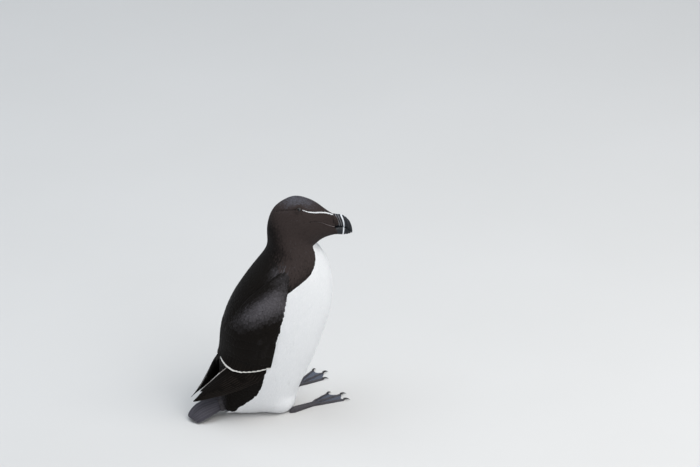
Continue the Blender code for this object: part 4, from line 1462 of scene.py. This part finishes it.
# ------------------------------------------------------------------------------------ feet
# The shanks lie on the floor behind three webbed toes.  The black skin is scaled in small
# plates over shank and toes, and thin, creased and a little blue on the webs, whose lighter
# blue-grey is partly their own tint and partly a painted sky highlight.
FOOT_LENGTH = 69.0
FOOT_HEEL = {"right": (9.0, -25.0, 0.0), "left": (8.0, 25.0, 0.0)}
FOOT_TURN = {"right": math.radians(19.0), "left": math.radians(29.0)}
TOE_FAN = math.radians(17.0)
TOE_ROOT = 30.0
SHANK_HALF = 3.6
TOES = {"outer": (-1.0, 0.94), "middle": (0.0, 1.0), "inner": (1.0, 0.84)}


def foot_axes(side):
    """A foot's heel, its forward and its inner direction."""
    sign = -1.0 if side == "right" else 1.0
    turn = FOOT_TURN[side]
    forward = np.array([math.cos(turn), math.sin(turn), 0.0])
    inward = np.array([sign * math.sin(turn), -sign * math.cos(turn), 0.0])
    return np.array(FOOT_HEEL[side]), forward, inward


def foot_shape(side, rows, columns):
    """A foot: a raised top over a flat sole, u from heel to toe ends, v from -1 to 1 across.

    The top's height is the shank's round back, then ridges along the three toes, with
    waves along them for the plates, over the thin web with its creases.
    """
    even = np.linspace(-1.0, 1.0, columns)
    u, v = grid(np.linspace(0.0, 1.0, rows), even - 0.08 * np.sin(TAU * even))
    reach = FOOT_LENGTH * np.interp(v, *zip(*TOES.values()))
    rounded = 0.03 * np.clip((np.abs(v) - 0.9) / 0.1, 0.0, 1.0) ** 2
    along = u * reach * (1.0 - 0.04 * np.sin(math.pi * np.abs(v)) ** 2 - rounded)
    spread = np.maximum(along - TOE_ROOT, 0.0)
    root = np.minimum(1.0, np.sqrt(np.clip(along / 5.0, 0.05, 1.0)))
    half = SHANK_HALF * root + spread * math.tan(TOE_FAN)
    fan = ease(spread / 10.0)
    beside = v * (half + 0.5 * fan)
    toe_line = np.round(v) * (half - 0.9 * fan)
    thick = 1.85 - 0.35 * u
    on_toe = np.sqrt(np.clip(1.0 - ((beside - toe_line) / thick) ** 2, 0.0, 1.0))
    shank = 7.0 * (1.0 - 0.45 * along / TOE_ROOT) * np.sqrt(1.0 - 0.92 * v**2)
    knuckles = 0.5 * np.exp(-(((along / reach - 0.64) / 0.035) ** 2))
    knuckles += 0.4 * np.exp(-(((along / reach - 0.83) / 0.03) ** 2))
    toes = 0.6 + (2.1 + knuckles) * on_toe * (1.0 - 0.3 * ease((u - 0.6) / 0.4))
    crease = 0.12 * np.sin(v * 34.0 + 3.0 * np.sin(along * 0.3)) * (1.0 - on_toe) * fan
    scutes = 0.12 * np.abs(np.sin(along * 1.9)) * on_toe * fan
    net = 0.16 * np.sin(along * 2.4 + 2.0 * v) * np.sin(v * 7.0 + along * 0.8) * (1.0 - fan)
    tall = (1.0 - fan) * np.maximum(shank, 1.6) + fan * toes
    tall = (tall + crease + scutes + net) * (0.55 + 0.45 * ease(u * 9.0))
    tall *= np.sqrt(1.0 - 0.8 * np.clip((u - 0.955) / 0.045, 0.0, 1.0) ** 2)
    tall = np.maximum(tall, 0.45)
    heel, forward, inward = foot_axes(side)
    flat = heel + along[..., None] * forward + beside[..., None] * inward
    top = flat + np.stack([0.0 * tall, 0.0 * tall, tall], axis=-1)
    web = (1.0 - ease(on_toe * 1.6)) * fan
    return top, flat, web


def slab(rows, columns, flip):
    """Faces of a closed slab whose upper and lower grids share the rim's outline."""
    i, j = grid(np.arange(rows - 1), np.arange(columns - 1))
    a = (i * columns + j).ravel()
    upper = np.stack([a, a + columns, a + columns + 1, a + 1], axis=-1)
    lower = upper[:, ::-1] + rows * columns
    rim = np.concatenate([np.arange(columns), np.arange(1, rows) * columns + columns - 1,
                          (rows - 1) * columns + np.arange(columns - 2, -1, -1),
                          np.arange(rows - 2, 0, -1) * columns])
    after = np.roll(rim, -1)
    walls = np.stack([rim, after, after + rows * columns, rim + rows * columns], axis=-1)
    faces = np.concatenate([upper, lower, walls])
    if flip:
        faces = faces[:, ::-1]
    return faces.ravel(), np.full(len(faces), 4)


tree, shader, web_finish = finish("webbed skin", 0.42, 0.3)
plates = add(tree, "ShaderNodeTexVoronoi",
             {"Vector": add(tree, "ShaderNodeTexCoord").outputs["Object"], "Scale": 950.0},
             feature="DISTANCE_TO_EDGE")
fine = noise(tree, 900.0, 4.0)
toe_colour = blend(tree, fine, (0.024, 0.022, 0.026), (0.066, 0.060, 0.068))
# The webs are lighter and bluer than the toes: partly their own slate tint, partly a painted sky
# highlight.
web_tint_and_highlight = blend(tree, fine, (0.045, 0.052, 0.070), (0.115, 0.128, 0.165))
coloured(tree, shader, blend(tree, attribute(tree, "web"), toe_colour, web_tint_and_highlight))
relief = maths(tree, "ADD", ramp(tree, plates.outputs["Distance"], 0.0, 0.12),
               maths(tree, "MULTIPLY", fine, 0.6))
bumped(tree, shader, relief, 0.3, 0.0002)
rows, columns = 120, 105
for side in ("right", "left"):
    top, flat, web = foot_shape(side, rows, columns)
    points = np.concatenate([top.reshape(-1, 3), flat.reshape(-1, 3)])
    faces, sides = slab(rows, columns, side == "left")
    foot = mesh_object("foot_skin_" + side, points, faces, sides,
                       extra={"web": np.tile(web.ravel(), 2)}, smooth=60.0)
    settle(foot, web_finish, "webbed_skin", "foot_" + side)


# ----------------------------------------------------------------------------------- claws
# Short black claws, ridged above and curved down to the floor, one at the end of each toe.
CLAW_LENGTH = 6.6
CLAW_THICK = 1.7
UP = np.array([0.0, 0.0, 1.0])


def claw_shape(side, toe):
    """A claw: rings that shrink along a curve bending down from the toe's end."""
    sideways, length = TOES[toe]
    heel, forward, inward = foot_axes(side)
    reach = FOOT_LENGTH * length
    half = (reach - TOE_ROOT) * math.tan(TOE_FAN) + SHANK_HALF
    root = heel + reach * forward + sideways * (half - 0.9) * inward
    aim = (reach - TOE_ROOT) * forward + sideways * half * inward
    aim = unit(aim)
    beside = np.cross(UP, aim)
    rings, around = 26, 16
    t, way = round_grid(np.linspace(-0.1, 1.0, rings), around)
    shrink = CLAW_THICK * 0.8 * (1.0 - 0.88 * np.clip(t, 0.0, 1.0) ** 1.25)
    rise = shrink * 0.92 + 1.1 * np.sin(math.pi * (0.18 + 0.82 * np.clip(t, 0.0, 1.0)))
    ahead = -0.2 + (CLAW_LENGTH + 0.3) * t
    wide = shrink * 0.8 * np.cos(way)
    tall = shrink * np.sin(way) * np.where(np.sin(way) > 0.0, 1.0, 0.9)
    points = (root + aim * ahead[..., None] + beside * wide[..., None]
              + UP * (rise + tall)[..., None])
    points[..., 2] = np.maximum(points[..., 2], 0.02)
    faces, sides = tube(rings, around, turned_in=True)
    return points.reshape(-1, 3), faces, sides


tree, shader, nail_finish = finish("claw horn", 0.35, 0.5)
coloured(tree, shader,
         blend(tree, noise(tree, 1500.0, 3.0), (0.007, 0.007, 0.008), (0.024, 0.023, 0.025)))
bumped(tree, shader, noise(tree, 2500.0, 2.0, (0.4, 0.4, 1.0)), 0.3, 0.0002)
for side in ("right", "left"):
    for toe in TOES:
        points, faces, sides = claw_shape(side, toe)
        nail = mesh_object(f"claw_horn_{side}_{toe}", points, faces, sides, smooth=60.0)
        settle(nail, nail_finish, "claw_horn", f"claw_{side}_{toe}")


# ------------------------------------------------------------------------ floor, light, view
# A pale studio floor under broad soft lamps, seen from the bird's right, a little above.
FLOOR_HALF = 6000.0
corners = np.array([(-1.0, -1.0, 0.0), (1.0, -1.0, 0.0), (1.0, 1.0, 0.0), (-1.0, 1.0, 0.0)])
floor = mesh_object("floor", corners * FLOOR_HALF, np.arange(4), np.array([4]))
tree, shader, floor_finish = finish("pale floor", 0.85, 0.2)
coloured(tree, shader,
         blend(tree, noise(tree, 3.0, 3.0), (0.60, 0.59, 0.575), (0.64, 0.63, 0.62)))
floor.data.materials.append(floor_finish)

world = bpy.data.worlds.new("pale studio")
world.use_nodes = True
world.node_tree.nodes["Background"].inputs["Color"].default_value = (0.80, 0.86, 0.93, 1.0)
world.node_tree.nodes["Background"].inputs["Strength"].default_value = 0.55
bpy.context.scene.world = world


def lamp(name, place, size, power, colour):
    """A square soft lamp aimed at the middle of the bird."""
    data = bpy.data.lights.new(name, "AREA")
    data.size = size
    data.energy = power
    data.color = colour
    made = bpy.data.objects.new(name, data)
    made.location = place
    aim = Vector((0.0, 0.0, 0.12)) - made.location
    made.rotation_euler = aim.to_track_quat("-Z", "Y").to_euler()
    bpy.context.scene.collection.objects.link(made)


lamp("key lamp", (1.0, -0.9, 1.9), 1.6, 34.0, (1.0, 0.98, 0.95))
lamp("sky lamp", (-0.6, 0.6, 2.2), 2.0, 26.0, (0.86, 0.93, 1.0))
lamp("front lamp", (0.4, -2.2, 0.9), 1.4, 10.0, (1.0, 1.0, 1.0))

VIEW_YAW = math.radians(12.0)
VIEW_DOWN = math.radians(25.0)
VIEW_ROLL = math.radians(4.0)
VIEW_CENTRE = Vector((0.1112, 0.0602, 0.1702))
VIEW_DISTANCE = 6.0
VIEW_WIDTH = 0.798               # what the frame spans at the bird
right = Vector((math.cos(VIEW_YAW), -math.sin(VIEW_YAW), 0.0))
ahead = Vector((math.sin(VIEW_YAW) * math.cos(VIEW_DOWN),
                math.cos(VIEW_YAW) * math.cos(VIEW_DOWN), -math.sin(VIEW_DOWN)))
over = right.cross(ahead)
right, over = (right * math.cos(VIEW_ROLL) - over * math.sin(VIEW_ROLL),
               right * math.sin(VIEW_ROLL) + over * math.cos(VIEW_ROLL))
data = bpy.data.cameras.new("camera")
data.lens = data.sensor_width * VIEW_DISTANCE / VIEW_WIDTH
data.clip_end = 100.0
camera = bpy.data.objects.new("camera", data)
turn = Matrix((right, over, -ahead)).transposed().to_4x4()
camera.matrix_world = Matrix.Translation(VIEW_CENTRE - ahead * VIEW_DISTANCE) @ turn
bpy.context.scene.collection.objects.link(camera)
bpy.context.scene.camera = camera
bpy.context.scene.view_settings.view_transform = "Standard"
